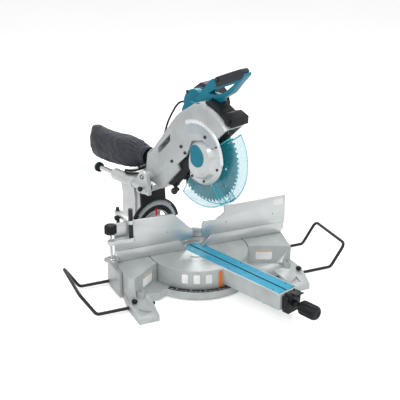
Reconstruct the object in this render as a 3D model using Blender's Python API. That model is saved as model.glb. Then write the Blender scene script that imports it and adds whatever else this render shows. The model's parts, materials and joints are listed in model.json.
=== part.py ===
"""Sliding compound mitre saw, 12 inch class, as an assembly of separate pieces.

Metres, +Z up, fence along X, operator at -Y.  Everything is modelled about the turntable's
vertical pivot at bench level, then the whole assembly is shifted so that the origin is the
bottom centre of its box.  Pieces on the turntable are modelled in the turntable's own frame:
X across the blade, Y to the rear along the kerf, Z up.
"""
import math
from math import cos, pi, radians, sin

import bmesh
import bpy
from mathutils import Matrix, Vector

# ---------------------------------------------------------------- driving dimensions
BLADE_R = 0.1525            # 305 mm blade
BLADE_T = 0.0026
BLADE_TEETH = 48
MITRE_REST = radians(20.2)  # table turned to the operator's right at rest
BOX_SHIFT = Vector((-0.0155, -0.0261, 0.0))

GAP = 0.0003                # kept between pieces that touch
TABLE_TOP = 0.097
TABLE_R = 0.170
RING_R = 0.192
RING_TOP = 0.030
KERF_HALF = 0.0022
BOARD_HALF = 0.0353
BOARD_T = 0.003
BOARD_REAR = 0.030
ARM_HALF = 0.041
ARM_END = -0.409
ARM_BOTTOM = 0.042

FENCE_Y = 0.006             # work face of the fences
FENCE_LOW = TABLE_TOP + 0.0004
FENCE_STEP = 0.136          # top of the fixed fence
FENCE_BAR = 0.020
HOLDER_R = 0.0055
HOLDER_Z = 0.0125

RAIL_U = 0.060
RAIL_Z = 0.2815
RAIL_R = 0.0095
SLEEVE_R = 0.0205
SLEEVE_SEAM = 0.253
HOUSING_REAR = 0.366
RAIL_REAR = 0.452

PIVOT_Y, PIVOT_Z = 0.198, 0.320       # chop hinge, across the table
BLADE_Y, BLADE_Z = -0.035, 0.439      # arbor at rest
MOTOR_Y, MOTOR_Z = 0.095, 0.565       # motor centre at rest
CHAMBER_R = 0.181
CASE_R = 0.188             # upper guard, front; it closes in to REAR_R behind the blade
REAR_R = 0.160
CASE_LEFT, CASE_RIGHT = -0.040, 0.034
GUARD_R = 0.1745
GUARD_HALF = 0.0225
BAG_HALF = 0.046

BEVEL_Y = 0.235             # bevel axis runs along the kerf line, at table height
SCALE_R = 0.112

CORD_R = 0.0035
LEAD_U, LEAD_Y, LEAD_Z = 0.090, 0.160, 0.560   # where the lead leaves the motor housing

# ---------------------------------------------------------------- scene and materials
for old in list(bpy.data.objects):
    bpy.data.objects.remove(old, do_unlink=True)


def material(name, rgb, rough, metal=0.0):
    found = bpy.data.materials.get(name) or bpy.data.materials.new(name)
    found.use_nodes = True
    shader = found.node_tree.nodes["Principled BSDF"]
    shader.inputs["Base Color"].default_value = (*rgb, 1.0)
    shader.inputs["Roughness"].default_value = rough
    shader.inputs["Metallic"].default_value = metal
    return found


SILVER = material("silver_paint", (0.62, 0.65, 0.64), 0.45, 0.2)
MACHINED = material("machined_aluminium", (0.72, 0.74, 0.76), 0.3, 1.0)
TEAL = material("teal_plastic", (0.01, 0.24, 0.33), 0.35)
CLEAR = material("clear_guard", (0.25, 0.7, 0.78), 0.1)
BOARD = material("kerf_board_blue", (0.12, 0.5, 0.66), 0.4)
BLACK = material("black_plastic", (0.02, 0.02, 0.022), 0.5)
GREY = material("dark_grip", (0.07, 0.075, 0.085), 0.6)
STEEL = material("steel", (0.55, 0.56, 0.58), 0.25, 1.0)
CHROME = material("chrome", (0.8, 0.8, 0.82), 0.1, 1.0)
COPPER = material("copper_pointer", (0.8, 0.28, 0.06), 0.4, 0.3)
RED = material("red_plastic", (0.7, 0.03, 0.02), 0.4)
FABRIC = material("bag_fabric", (0.07, 0.075, 0.09), 0.9)
RUBBER = material("cord_rubber", (0.012, 0.012, 0.014), 0.6)


# ---------------------------------------------------------------- frames
def empty(name, place, parent=None, turn=0.0):
    frame = bpy.data.objects.new(name, None)
    frame.location = place
    frame.rotation_euler = (0.0, 0.0, turn)
    frame.parent = parent
    bpy.context.collection.objects.link(frame)
    return frame


ORIGIN = {}


def frame(name, place, parent, turn=0.0):
    """An empty at place, in the coordinates that its parent's pieces are modelled in."""
    base = ORIGIN.get(parent.name, Vector()) if parent else Vector()
    made = empty(name, Vector(place) - base, parent, turn)
    ORIGIN[name] = Vector() if turn else Vector(place)
    return made


ROOT = frame("assembly", BOX_SHIFT, None)
ORIGIN["assembly"] = Vector()
TABLE = frame("turntable_axis", (0, 0, 0), ROOT, MITRE_REST)
BEVEL = frame("bevel_axis", (0, BEVEL_Y, TABLE_TOP), TABLE)
SLIDE = frame("slide_axis", (0, PIVOT_Y, RAIL_Z), BEVEL)
HEAD = frame("chop_axis", (0, PIVOT_Y, PIVOT_Z), SLIDE)
ARBOR = frame("arbor_axis", (0, BLADE_Y, BLADE_Z), HEAD)


# ---------------------------------------------------------------- mesh helpers
def piece(name, mesh, mat, holder, smooth=35):
    """Link a mesh, given in its holder's modelling coordinates, as a named piece."""
    mesh.transform(Matrix.Translation(-ORIGIN[holder.name]))
    mesh.materials.clear()
    mesh.materials.append(mat)
    mesh.shade_smooth()
    mesh.set_sharp_from_angle(angle=radians(smooth))
    made = bpy.data.objects.new(name, mesh)
    made.parent = holder
    bpy.context.collection.objects.link(made)
    return made


def to_mesh(bm, name="shape"):
    bmesh.ops.remove_doubles(bm, verts=bm.verts, dist=1e-6)
    bmesh.ops.recalc_face_normals(bm, faces=bm.faces)
    mesh = bpy.data.meshes.new(name)
    bm.to_mesh(mesh)
    bm.free()
    return mesh


def axis_point(axis, along, a, b):
    """A point from its place along an axis and its two other coordinates, in X, Y, Z order."""
    return {"X": (along, a, b), "Y": (a, along, b), "Z": (a, b, along)}[axis]


def prism(outline, low, high, axis="Z", inset=0.0):
    """An outline extruded along an axis; inset shrinks the high end, for a drafted casting."""
    bm = bmesh.new()
    ends = []
    mid = [sum(p[i] for p in outline) / len(outline) for i in (0, 1)]
    for along, shrink in ((low, 0.0), (high, inset)):
        ring = []
        for a, b in outline:
            da, db = mid[0] - a, mid[1] - b
            size = math.hypot(da, db) or 1.0
            place = axis_point(axis, along, a + da / size * shrink, b + db / size * shrink)
            ring.append(bm.verts.new(place))
        ends.append(ring)
    bm.faces.new(ends[0])
    bm.faces.new(list(reversed(ends[1])))
    for i in range(len(outline)):
        j = (i + 1) % len(outline)
        bm.faces.new((ends[0][i], ends[0][j], ends[1][j], ends[1][i]))
    return to_mesh(bm)


def soft_prism(outline, low, high, axis, edge):
    """A prism whose two end faces are drawn in a little, so its edges are not sharp."""
    mid = [sum(p[i] for p in outline) / len(outline) for i in (0, 1)]
    bm = bmesh.new()
    rings = []
    for along, shrink in ((low, edge), (low + edge, 0.0), (high - edge, 0.0), (high, edge)):
        ring = []
        for a, b in outline:
            da, db = mid[0] - a, mid[1] - b
            size = math.hypot(da, db) or 1.0
            place = axis_point(axis, along, a + da / size * shrink, b + db / size * shrink)
            ring.append(bm.verts.new(place))
        rings.append(ring)
    for one, two in zip(rings, rings[1:]):
        for k in range(len(outline)):
            n = (k + 1) % len(outline)
            bm.faces.new((one[k], one[n], two[n], two[k]))
    bm.faces.new(rings[0])
    bm.faces.new(list(reversed(rings[-1])))
    return to_mesh(bm)


def box(low, high):
    corners = [(low[0], low[1]), (high[0], low[1]), (high[0], high[1]), (low[0], high[1])]
    return prism(corners, low[2], high[2])


def bevelled(mesh, width):
    """Its sharp edges chamfered."""
    bm = bmesh.new()
    bm.from_mesh(mesh)
    edges = [e for e in bm.edges if len(e.link_faces) == 2 and e.calc_face_angle() > radians(40)]
    bmesh.ops.bevel(bm, geom=edges, offset=width, segments=1, affect="EDGES", profile=0.5)
    return to_mesh(bm)


def arc(centre, radius, start, end, steps):
    """Points on an arc, in degrees, ends included."""
    angles = [radians(start + (end - start) * i / steps) for i in range(steps + 1)]
    return [(centre[0] + radius * cos(t), centre[1] + radius * sin(t)) for t in angles]


def rounded(points, radius, steps=3):
    """An outline with each corner replaced by a quadratic curve that starts radius away."""
    out = []
    for i, here in enumerate(points):
        here = Vector(here)
        before = Vector(points[i - 1])
        after = Vector(points[(i + 1) % len(points)])
        cut = min(radius, (before - here).length * 0.45, (after - here).length * 0.45)
        a = here + (before - here).normalized() * cut
        b = here + (after - here).normalized() * cut
        for k in range(steps + 1):
            t = k / steps
            out.append(tuple((1 - t) ** 2 * a + 2 * t * (1 - t) * here + t * t * b))
    return out


def lathe(profile, axis, centre, steps=24, start=0.0, end=360.0):
    """Turn a closed profile of (radius, along) about an axis; a part turn gets flat ends."""
    bm = bmesh.new()
    full = abs(end - start) >= 360.0
    count = steps if full else steps + 1
    rings = []
    for i in range(count):
        t = radians(start + (end - start) * i / steps)
        rings.append([bm.verts.new(axis_point(axis, along + centre[{"X": 0, "Y": 1, "Z": 2}[axis]],
                                              *turned(axis, centre, r, t))) for r, along in profile])
    for i in range(steps):
        one, two = rings[i], rings[(i + 1) % count]
        for k in range(len(profile)):
            n = (k + 1) % len(profile)
            face = [one[k], one[n], two[n], two[k]]
            kept = [v for m, v in enumerate(face) if all((v.co - w.co).length > 1e-7 for w in face[:m])]
            if len(kept) > 2:
                bm.faces.new(kept)
    if not full:
        bm.faces.new(rings[0])
        bm.faces.new(list(reversed(rings[-1])))
    return to_mesh(bm)


def turned(axis, centre, r, t):
    others = {"X": (1, 2), "Y": (0, 2), "Z": (0, 1)}[axis]
    return centre[others[0]] + r * cos(t), centre[others[1]] + r * sin(t)


def rod(axis, centre, radius, low, high, steps=16, chamfer=0.0):
    """A solid cylinder along an axis; low and high are absolute places on it."""
    i = {"X": 0, "Y": 1, "Z": 2}[axis]
    at = list(centre)
    at[i] = 0.0
    profile = [(0.0, low), (radius - chamfer, low)]
    if chamfer:
        profile += [(radius, low + chamfer), (radius, high - chamfer)]
    profile += [(radius - chamfer, high), (0.0, high)]
    return lathe(profile, axis, at, steps)


def pipe(axis, centre, outer, inner, low, high, steps=24):
    i = {"X": 0, "Y": 1, "Z": 2}[axis]
    at = list(centre)
    at[i] = 0.0
    return lathe([(inner, low), (outer, low), (outer, high), (inner, high)], axis, at, steps)


def combined(mesh, others, operation):
    """A Boolean of one mesh with each of the others, in turn."""
    target = bpy.data.objects.new("target", mesh)
    bpy.context.collection.objects.link(target)
    for other in others:
        tool = bpy.data.objects.new("tool", other)
        tool.hide_render = True
        tool.display_type = "WIRE"
        bpy.context.collection.objects.link(tool)
        step = target.modifiers.new("step", "BOOLEAN")
        step.operation = operation
        step.object = tool
        graph = bpy.context.evaluated_depsgraph_get()
        result = bpy.data.meshes.new_from_object(target.evaluated_get(graph))
        target.modifiers.clear()
        target.data = result
        bpy.data.objects.remove(tool, do_unlink=True)
    result = target.data
    bpy.data.objects.remove(target, do_unlink=True)
    return result


def joined(mesh, *others):
    return combined(mesh, others, "UNION")


def cut(mesh, *others):
    return combined(mesh, others, "DIFFERENCE")


def tube(name, route, radius, mat, holder, resolution=2):
    """A round bar or cord along a list of points, closed at both ends."""
    curve = bpy.data.curves.new(name, "CURVE")
    curve.dimensions = "3D"
    curve.bevel_depth = radius
    curve.bevel_resolution = resolution
    curve.use_fill_caps = True
    line = curve.splines.new("POLY")
    line.points.add(len(route) - 1)
    for point, place in zip(line.points, route):
        point.co = (*(Vector(place) - ORIGIN[holder.name]), 1.0)
    curve.materials.append(mat)
    made = bpy.data.objects.new(name, curve)
    made.parent = holder
    bpy.context.collection.objects.link(made)
    return made


def bent(corners, radius, steps=4):
    """A path through corners, each one rounded with the same bend radius."""
    path = [Vector(corners[0])]
    for before, here, after in zip(corners, corners[1:], corners[2:]):
        here = Vector(here)
        into = (here - Vector(before)).normalized()
        out = (Vector(after) - here).normalized()
        half = into.angle(out) / 2
        reach = radius * math.tan(half)
        a, b = here - into * reach, here + out * reach
        for k in range(steps + 1):
            t = k / steps
            path.append((1 - t) ** 2 * a + 2 * t * (1 - t) * here + t * t * b)
    path.append(Vector(corners[-1]))
    return path


def flow(points, count):
    """Evenly spread points on a smooth curve through a route's own points."""
    places = [Vector(p) for p in points]
    padded = [2 * places[0] - places[1], *places, 2 * places[-1] - places[-2]]
    fine = []
    for i in range(1, len(padded) - 2):
        p0, p1, p2, p3 = padded[i - 1:i + 3]
        for k in range(24):
            t = k / 24
            fine.append(0.5 * (2 * p1 + (p2 - p0) * t + (2 * p0 - 5 * p1 + 4 * p2 - p3) * t * t
                               + (3 * p1 - p0 - 3 * p2 + p3) * t ** 3))
    fine.append(places[-1])
    lengths = [0.0]
    for a, b in zip(fine, fine[1:]):
        lengths.append(lengths[-1] + (b - a).length)
    out = []
    j = 0
    for i in range(count):
        want = lengths[-1] * i / (count - 1)
        while j < len(fine) - 2 and lengths[j + 1] < want:
            j += 1
        span = lengths[j + 1] - lengths[j]
        out.append(fine[j].lerp(fine[j + 1], (want - lengths[j]) / span))
    return out


# ---------------------------------------------------------------- base
LEFT_WING = [(-0.286, 0.030), (-0.290, -0.126), (-0.273, -0.133), (-0.262, -0.118),
             (-0.244, -0.106), (-0.176, -0.050)]
RIGHT_WING = [(0.327, 0.030), (0.298, -0.110), (0.258, -0.086), (0.176, -0.050)]
WING_REAR = 0.062
BOSS_X, BOSS_Y = -0.255, 0.074
BOLT_BOSSES = ((-0.249, -0.122), (0.281, -0.115))


def wing(side, front):
    """One wing of the base: a casting that keeps clear of the turntable."""
    rear = WING_REAR
    outer = front[0][0]
    inner = front[-1]
    meet = math.sqrt((TABLE_R + 0.003) ** 2 - rear ** 2)
    start = math.degrees(math.atan2(inner[1], inner[0]))
    end = math.degrees(math.atan2(rear, side * meet))
    if side < 0:
        start, end = start % 360, end % 360
    return [(outer, rear)] + front + arc((0, 0), TABLE_R + 0.003, start, end, 8)


def front_foot(side, toe_in, toe_out, heel_out):
    """A splayed front leg: flat toe on the bench, rising gently to the wing."""
    toe_y, heel_y = -0.2435, -0.060
    plan = [(side * toe_in, toe_y), (side * toe_out, toe_y), (side * heel_out, -0.140),
            (side * (heel_out - 0.012), heel_y), (side * 0.215, heel_y)]
    leg = prism(plan if side > 0 else plan[::-1], 0.0, 0.034)
    slope = prism([(toe_y - 0.02, 0.0185), (heel_y + 0.02, 0.0315), (heel_y + 0.02, 0.06),
                   (toe_y - 0.02, 0.06)], -0.4, 0.4, "X")
    leg = cut(leg, slope)
    pocket = prism([(side * 0.243, -0.216), (side * 0.277, -0.224), (side * 0.281, -0.186)],
                   0.0165, 0.05)
    return cut(leg, pocket)


def base_casting():
    ring = lathe([(0.0, 0.002), (RING_R - 0.004, 0.002), (RING_R, 0.006), (RING_R, RING_TOP - 0.001),
                  (RING_R - 0.001, RING_TOP), (0.0, RING_TOP)], "Z", (0, 0, 0), 44)
    parts = []
    for side, front in ((-1, LEFT_WING), (1, RIGHT_WING)):
        parts.append(prism(wing(side, front), 0.010, TABLE_TOP - GAP))
        ledge = [(side * 0.150, 0.050), (side * 0.150, -0.105), (side * 0.186, -0.126),
                 (side * 0.262, -0.118), (side * 0.262, 0.050)]
        parts.append(prism(ledge, 0.004, RING_TOP))
        parts.append(rod("Z", (side * 0.132, 0.128, 0), 0.020, 0.0, 0.010, 12))
    for x, y in BOLT_BOSSES:
        parts.append(rod("Z", (x, y, 0), 0.0135, 0.012, 0.046, 12))
    parts.append(front_foot(-1, 0.230, 0.296, 0.300))
    parts.append(front_foot(1, 0.246, 0.300, 0.326))
    parts.append(rod("Z", (BOSS_X, BOSS_Y, 0), 0.017, 0.040, TABLE_TOP - GAP, 16))
    parts.append(prism([(-0.300, -0.062), (-0.290, -0.062), (-0.276, 0.030), (-0.276, 0.060),
                        (-0.303, 0.060), (-0.306, 0.030)], 0.004, 0.088, inset=0.004))
    solid = joined(ring, *parts)
    holes = [rod("Z", (BOSS_X, BOSS_Y, 0), 0.0063, 0.045, 0.12, 12),
             rod("Z", (0, 0, 0), 0.0103, -0.01, 0.05, 16)]
    for x, y in BOLT_BOSSES:
        holes.append(rod("Z", (x, y, 0), 0.005, 0.034, 0.06, 10))
    for y in (0.046, -0.152):
        for side in (-1, 1):
            low, high = sorted((side * 0.205, side * 0.40))
            holes.append(rod("X", (0, y, HOLDER_Z), HOLDER_R + 0.0004, low, high, 10))
    for x in (-0.280, 0.308):
        holes.append(rod("Z", (x, -0.152, 0), 0.0032, 0.015, 0.06, 10))
    solid = cut(solid, *holes)
    piece("base_casting", solid, SILVER, ROOT)


def mitre_scale():
    profile = [(TABLE_R + 0.0025, RING_TOP + GAP), (RING_R - 0.003, RING_TOP + GAP),
               (RING_R - 0.003, RING_TOP + 0.0016), (TABLE_R + 0.0025, RING_TOP + 0.0016)]
    piece("mitre_scale", lathe(profile, "Z", (0, 0, 0), 28, 216, 324), BLACK, ROOT)


# ---------------------------------------------------------------- fences
FIXED_LEFT = [(-0.284, TABLE_TOP), (-0.037, TABLE_TOP), (-0.064, FENCE_STEP), (-0.284, FENCE_STEP)]
FIXED_RIGHT = [(0.018, TABLE_TOP), (0.318, TABLE_TOP), (0.331, 0.112), (0.331, FENCE_STEP),
               (0.052, FENCE_STEP)]
SLIDING_LEFT = [(-0.290, 0.0), (-0.0165, 0.0), (-0.0165, 0.030), (-0.084, 0.0997), (-0.290, 0.0997)]
SLIDING_RIGHT = [(0.0185, 0.0), (0.0185, 0.043), (0.027, 0.0540), (0.071, 0.0540), (0.100, 0.0710),
                 (0.100, 0.0997), (0.334, 0.0997), (0.334, 0.0)]
TRACK_Y = 0.034


def fixed_fence():
    """Two work bars on the wings, tied by a low bridge that runs behind the blade."""
    low = FENCE_LOW
    left = prism([(x, max(z, low)) for x, z in FIXED_LEFT], FENCE_Y, FENCE_Y + FENCE_BAR, "Y")
    right = prism([(x, max(z, low)) for x, z in FIXED_RIGHT], FENCE_Y, FENCE_Y + FENCE_BAR, "Y")
    bridge = lathe([(0.094, low), (0.104, low), (0.104, FENCE_STEP - 0.006), (0.094, FENCE_STEP - 0.006)],
                   "Z", (0, 0, 0), 18, 8, 172)
    feet = [box((-0.275, FENCE_Y + 0.004, low), (-0.085, 0.050, low + 0.010)),
            box((0.085, FENCE_Y + 0.004, low), (0.310, 0.050, low + 0.010))]
    solid = joined(left, right, bridge, *feet)
    bolts = [rod("Z", (x, 0.039, 0), 0.0055, low + 0.008, low + 0.014, 6)
             for x in (-0.235, -0.185, 0.185, 0.275)]
    solid = joined(solid, *bolts)
    piece("fixed_fence", solid, MACHINED, ROOT)


def sliding_fence(name, outline, side):
    """A tall plate on top of the fixed bar, with a hook behind it that runs in the track."""
    holder = frame(name + "_axis", (outline[0][0], FENCE_Y, FENCE_STEP), ROOT)
    base = FENCE_STEP + GAP
    plate = prism([(x, base + z) for x, z in outline], FENCE_Y, FENCE_Y + 0.007, "Y")
    inner = sorted((side * 0.130, side * 0.270))
    rib = box((inner[0], FENCE_Y + 0.006, base), (inner[1], TRACK_Y, base + 0.012))
    hook = box((inner[0], FENCE_Y + FENCE_BAR + GAP, base - 0.022), (inner[1], TRACK_Y, base + 0.012))
    spine = [box((x - 0.003, FENCE_Y + 0.006, base + 0.002), (x + 0.003, FENCE_Y + 0.024, base + 0.084))
             for x in (side * 0.140, side * 0.200, side * 0.260)]
    solid = joined(plate, rib, hook, *spine)
    holes = [rod("Y", (x, 0, base + 0.038), 0.0022, 0.0, 0.02, 8) for x in (side * 0.108, side * 0.285)]
    solid = cut(solid, *holes)
    piece(name, solid, MACHINED, holder)


def fence_knob(name, x):
    """Clamp screw behind a fence, turned to lock the sliding plate."""
    y, z = TRACK_Y + GAP, FENCE_STEP - 0.008
    holder = frame(name + "_axis", (x, y, z), ROOT)
    grip = lathe([(0.0, y), (0.006, y), (0.006, y + 0.010), (0.014, y + 0.012), (0.014, y + 0.026),
                  (0.011, y + 0.029), (0.0, y + 0.029)], "Y", (x, 0, z), 12)
    piece(name, grip, BLACK, holder, 50)


# ---------------------------------------------------------------- work holders
def holder_bar(name, side, reach, lean):
    """A bent steel bar: two rods that slide in the base, and an upright end at table height."""
    holder = frame(name + "_axis", (side * 0.30, -0.053, HOLDER_Z), ROOT)
    rear, front = 0.046, -0.152
    top = TABLE_TOP - HOLDER_R
    corners = [(side * 0.212, rear, HOLDER_Z), (side * reach, rear, HOLDER_Z),
               (side * (reach + lean), rear, top), (side * (reach + lean), front, top),
               (side * reach, front, HOLDER_Z), (side * 0.212, front, HOLDER_Z)]
    tube(name, bent(corners, 0.020, 3), HOLDER_R, BLACK, holder, 1)


def holder_knob(name, x):
    """Thumb screw on the foot that clamps the front rod of the holder."""
    y, z = -0.152, 0.0268
    holder = frame(name + "_axis", (x, y, z), ROOT)
    grip = lathe([(0.0, z - 0.008), (0.0028, z - 0.008), (0.0028, z), (0.0085, z + 0.001),
                  (0.0095, z + 0.003), (0.0095, z + 0.008), (0.0065, z + 0.0105), (0.0, z + 0.0115)],
                 "Z", (x, y, 0), 12)
    piece(name, grip, BLACK, holder, 50)


# ---------------------------------------------------------------- vise
POST_X, POST_Y = -0.240, -0.016
SCREW_X = -0.3085
LINK_Z, LINK_H = 0.2375, 0.013
VISE_ARM_Z, VISE_ARM_H = 0.176, 0.014
PLATE_Z = 0.124


def bar_between(a, b, half_a, half_b, low, high):
    """A flat bar with round ends of different size."""
    d = Vector(b) - Vector(a)
    turn = math.degrees(math.atan2(d.y, d.x))
    outline = arc(a, half_a, turn + 90, turn + 270, 6) + arc(b, half_b, turn - 90, turn + 90, 6)
    return prism(outline, low, high)


def vise():
    swivel = frame("vise_swivel_axis", (BOSS_X, BOSS_Y, 0.10), ROOT)
    rod_mesh = rod("Z", (BOSS_X, BOSS_Y, 0), 0.006, 0.047, 0.262, 12, 0.001)
    collar = rod("Z", (BOSS_X, BOSS_Y, 0), 0.010, TABLE_TOP + GAP, TABLE_TOP + 0.006, 12)
    piece("vise_rod", joined(rod_mesh, collar), BLACK, swivel)
    link = bar_between((BOSS_X, BOSS_Y), (POST_X, POST_Y), 0.0115, 0.0125, LINK_Z, LINK_Z + LINK_H)
    link = cut(link, rod("Z", (BOSS_X, BOSS_Y, 0), 0.0063, 0.2, 0.3, 12),
               rod("Z", (POST_X, POST_Y, 0), 0.0078, 0.2, 0.3, 12))
    piece("vise_link", bevelled(link, 0.0012), MACHINED, swivel)
    clamp_x, clamp_y = -0.2692, 0.030
    clamp = frame("vise_clamp_axis", (clamp_x, clamp_y, LINK_Z + LINK_H / 2), swivel)
    knob = lathe([(0.0, clamp_x - 0.010), (0.007, clamp_x - 0.010), (0.0085, clamp_x - 0.007),
                  (0.0085, clamp_x + 0.004), (0.004, clamp_x + 0.005), (0.004, clamp_x + 0.0085),
                  (0.0, clamp_x + 0.0085)], "X", (0, clamp_y, LINK_Z + LINK_H / 2), 10)
    piece("vise_clamp_knob", knob, BLACK, clamp)
    lift = frame("vise_lift_axis", (POST_X, POST_Y, VISE_ARM_Z), swivel)
    post = rod("Z", (POST_X, POST_Y, 0), 0.0075, VISE_ARM_Z + 0.002, 0.289, 12, 0.001)
    piece("vise_post", post, BLACK, lift)
    arm = bar_between((SCREW_X, POST_Y), (POST_X, POST_Y), 0.012, 0.0125, VISE_ARM_Z, VISE_ARM_Z + VISE_ARM_H)
    arm = cut(arm, rod("Z", (POST_X, POST_Y, 0), 0.0078, VISE_ARM_Z + 0.0017, 0.3, 12),
              rod("Z", (SCREW_X, POST_Y, 0), 0.0043, 0.1, 0.3, 10))
    piece("vise_arm", bevelled(arm, 0.0012), MACHINED, lift)
    screw = frame("vise_screw_axis", (SCREW_X, POST_Y, PLATE_Z), lift)
    shaft = rod("Z", (SCREW_X, POST_Y, 0), 0.004, PLATE_Z + 0.0033, 0.212, 10)
    piece("vise_screw", shaft, STEEL, screw)
    plate = lathe([(0.0, PLATE_Z - 0.003), (0.024, PLATE_Z - 0.003), (0.026, PLATE_Z - 0.001),
                   (0.015, PLATE_Z), (0.009, PLATE_Z + 0.003), (0.0, PLATE_Z + 0.003)],
                  "Z", (SCREW_X, POST_Y, 0), 20)
    piece("vise_plate", plate, STEEL, screw)
    knob_low = 0.2123
    profile = [(0.0, knob_low), (0.011, knob_low), (0.0205, knob_low + 0.004), (0.0205, knob_low + 0.027),
               (0.017, knob_low + 0.032), (0.0, knob_low + 0.033)]
    turn = frame("vise_knob_axis", (SCREW_X, POST_Y, knob_low), screw)
    piece("vise_knob", lathe(profile, "Z", (SCREW_X, POST_Y, 0), 16), BLACK, turn, 50)


# ---------------------------------------------------------------- turntable
def turntable():
    """Round table with its long front arm, rear bevel housing and kerf channel."""
    low = RING_TOP + GAP + 0.0002
    top = TABLE_TOP
    disc = lathe([(0.0, low), (TABLE_R - 0.001, low), (TABLE_R, low + 0.001), (TABLE_R, top - 0.001),
                  (TABLE_R - 0.001, top), (0.0, top)], "Z", (0, 0, 0), 56)
    plan = rounded([(-ARM_HALF, -0.10), (-ARM_HALF, ARM_END), (ARM_HALF, ARM_END), (ARM_HALF, -0.10)],
                   0.012)
    arm = prism(plan, ARM_BOTTOM, top)
    lug = rod("Z", (-0.033, -0.338, 0), 0.004, 0.0365, 0.05, 8)
    spring_bar = box((-0.037, -0.292, 0.038), (-0.027, -0.217, 0.043))
    neck = box((-0.052, 0.10, 0.034), (0.052, 0.214, 0.094))
    hub = rod("Y", (0, 0, TABLE_TOP), 0.044, 0.196, BEVEL_Y, 28)
    hub_root = box((-0.044, 0.196, 0.036), (0.044, BEVEL_Y, 0.100))
    solid = joined(disc, arm, lug, spring_bar, neck, hub_root, hub)
    recess_low = top - BOARD_T - GAP
    recess = prism([(-BOARD_HALF - 0.0004, ARM_END + 0.0050), (BOARD_HALF + 0.0004, ARM_END + 0.0050),
                    (BOARD_HALF + 0.0004, BOARD_REAR + 0.0004), (0.0, 0.052),
                    (-BOARD_HALF - 0.0004, BOARD_REAR + 0.0004)], recess_low, top + 0.01)
    channel = prism([(-0.012, ARM_END + 0.012), (0.012, ARM_END + 0.012), (0.012, 0.046), (-0.012, 0.046)],
                    0.066, top + 0.01)
    clearance = rod("Y", (0, 0, TABLE_TOP), 0.0103, 0.15, 0.30, 16)
    socket = rod("Z", (0, 0, 0), 0.0103, 0.0, 0.056, 16)
    solid = cut(solid, recess, channel, clearance, socket)
    piece("turntable", solid, SILVER, TABLE)
    bolt = rod("Z", (0, 0, 0), 0.010, 0.004, 0.054, 16)
    piece("turntable_pivot", bolt, STEEL, TABLE)


def kerf_boards():
    """Two plastic boards beside the cut, undercut so that a tilted blade clears them."""
    for name, side in (("kerf_board_left", -1), ("kerf_board_right", 1)):
        b = side * BOARD_HALF
        front = ARM_END + 0.0055
        a = side * 0.0010
        slab = prism([(a, front), (b, front + 0.004), (b, BOARD_REAR), (a, 0.048)],
                     TABLE_TOP - BOARD_T, TABLE_TOP)
        k = side * KERF_HALF
        lip = TABLE_TOP + 0.0002
        under = prism([(0.0, lip), (k, lip), (k, TABLE_TOP - 0.0006), (side * 0.0060, TABLE_TOP - 0.0040),
                       (0.0, TABLE_TOP - 0.0040)], -0.5, 0.1, "Y")
        holes = [rod("Z", (side * 0.029, y, 0), 0.0022, 0.08, 0.11, 8) for y in (0.014, -0.176, -0.371)]
        piece(name, cut(slab, under, *holes), BOARD, TABLE)


def table_fittings():
    pointer = prism([(-0.0055, 0.0333), (0.0055, 0.0333), (0.0055, 0.090), (-0.0055, 0.090)],
                    -TABLE_R - 0.0035, -TABLE_R - GAP, "Y")
    pointer.transform(Matrix.Rotation(-radians(17.6), 4, "Z"))
    piece("mitre_pointer", pointer, COPPER, TABLE)
    front = ARM_END - GAP
    bracket = rounded([(-0.027, 0.033), (0.030, 0.033), (0.033, 0.089), (-0.030, 0.089)], 0.006, 2)
    shell = prism(bracket, front - 0.022, front, "Y")
    ears = [box((x - 0.003, front - 0.030, 0.080), (x + 0.003, front - 0.004, 0.1005))
            for x in (-0.018, 0.018)]
    shell = joined(shell, *ears)
    shell = cut(shell, rod("Y", (0, 0, 0.064), 0.0072, -0.6, -0.4, 14),
                rod("X", (0, front - 0.020, 0.094), 0.0026, -0.05, 0.05, 8),
                box((-0.0145, front - 0.030, 0.086), (0.0145, front - 0.010, 0.110)))
    piece("arm_end_bracket", shell, BLACK, TABLE)
    grip_axis = frame("grip_knob_axis", (0, front - 0.023, 0.064), TABLE)
    y = front - 0.0225
    profile = [(0.0, y + 0.020), (0.0068, y + 0.020), (0.0068, y), (0.011, y - 0.001), (0.011, y - 0.014),
               (0.0085, y - 0.018), (0.0085, y - 0.024), (0.020, y - 0.032), (0.0240, y - 0.040),
               (0.0240, y - 0.082), (0.0195, y - 0.093), (0.0095, y - 0.095), (0.0080, y - 0.090),
               (0.0, y - 0.090)]
    piece("grip_knob", lathe(profile, "Y", (0, 0, 0.064), 16), BLACK, grip_axis, 30)
    lever_axis = frame("lock_lever_axis", (0, front - 0.020, 0.094), TABLE)
    side = [(front - 0.0165, 0.0885), (front - 0.0235, 0.0890), (front - 0.026, 0.0935),
            (front - 0.050, 0.103), (front - 0.051, 0.1065), (front - 0.026, 0.1035),
            (front - 0.014, 0.101), (front - 0.0125, 0.0930)]
    blade = prism(side, -0.0140, 0.0140, "X")
    pin = rod("X", (0, front - 0.020, 0.094), 0.0023, -0.0205, 0.0205, 8)
    piece("lock_lever", joined(blade, pin), BLACK, lever_axis)


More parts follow.
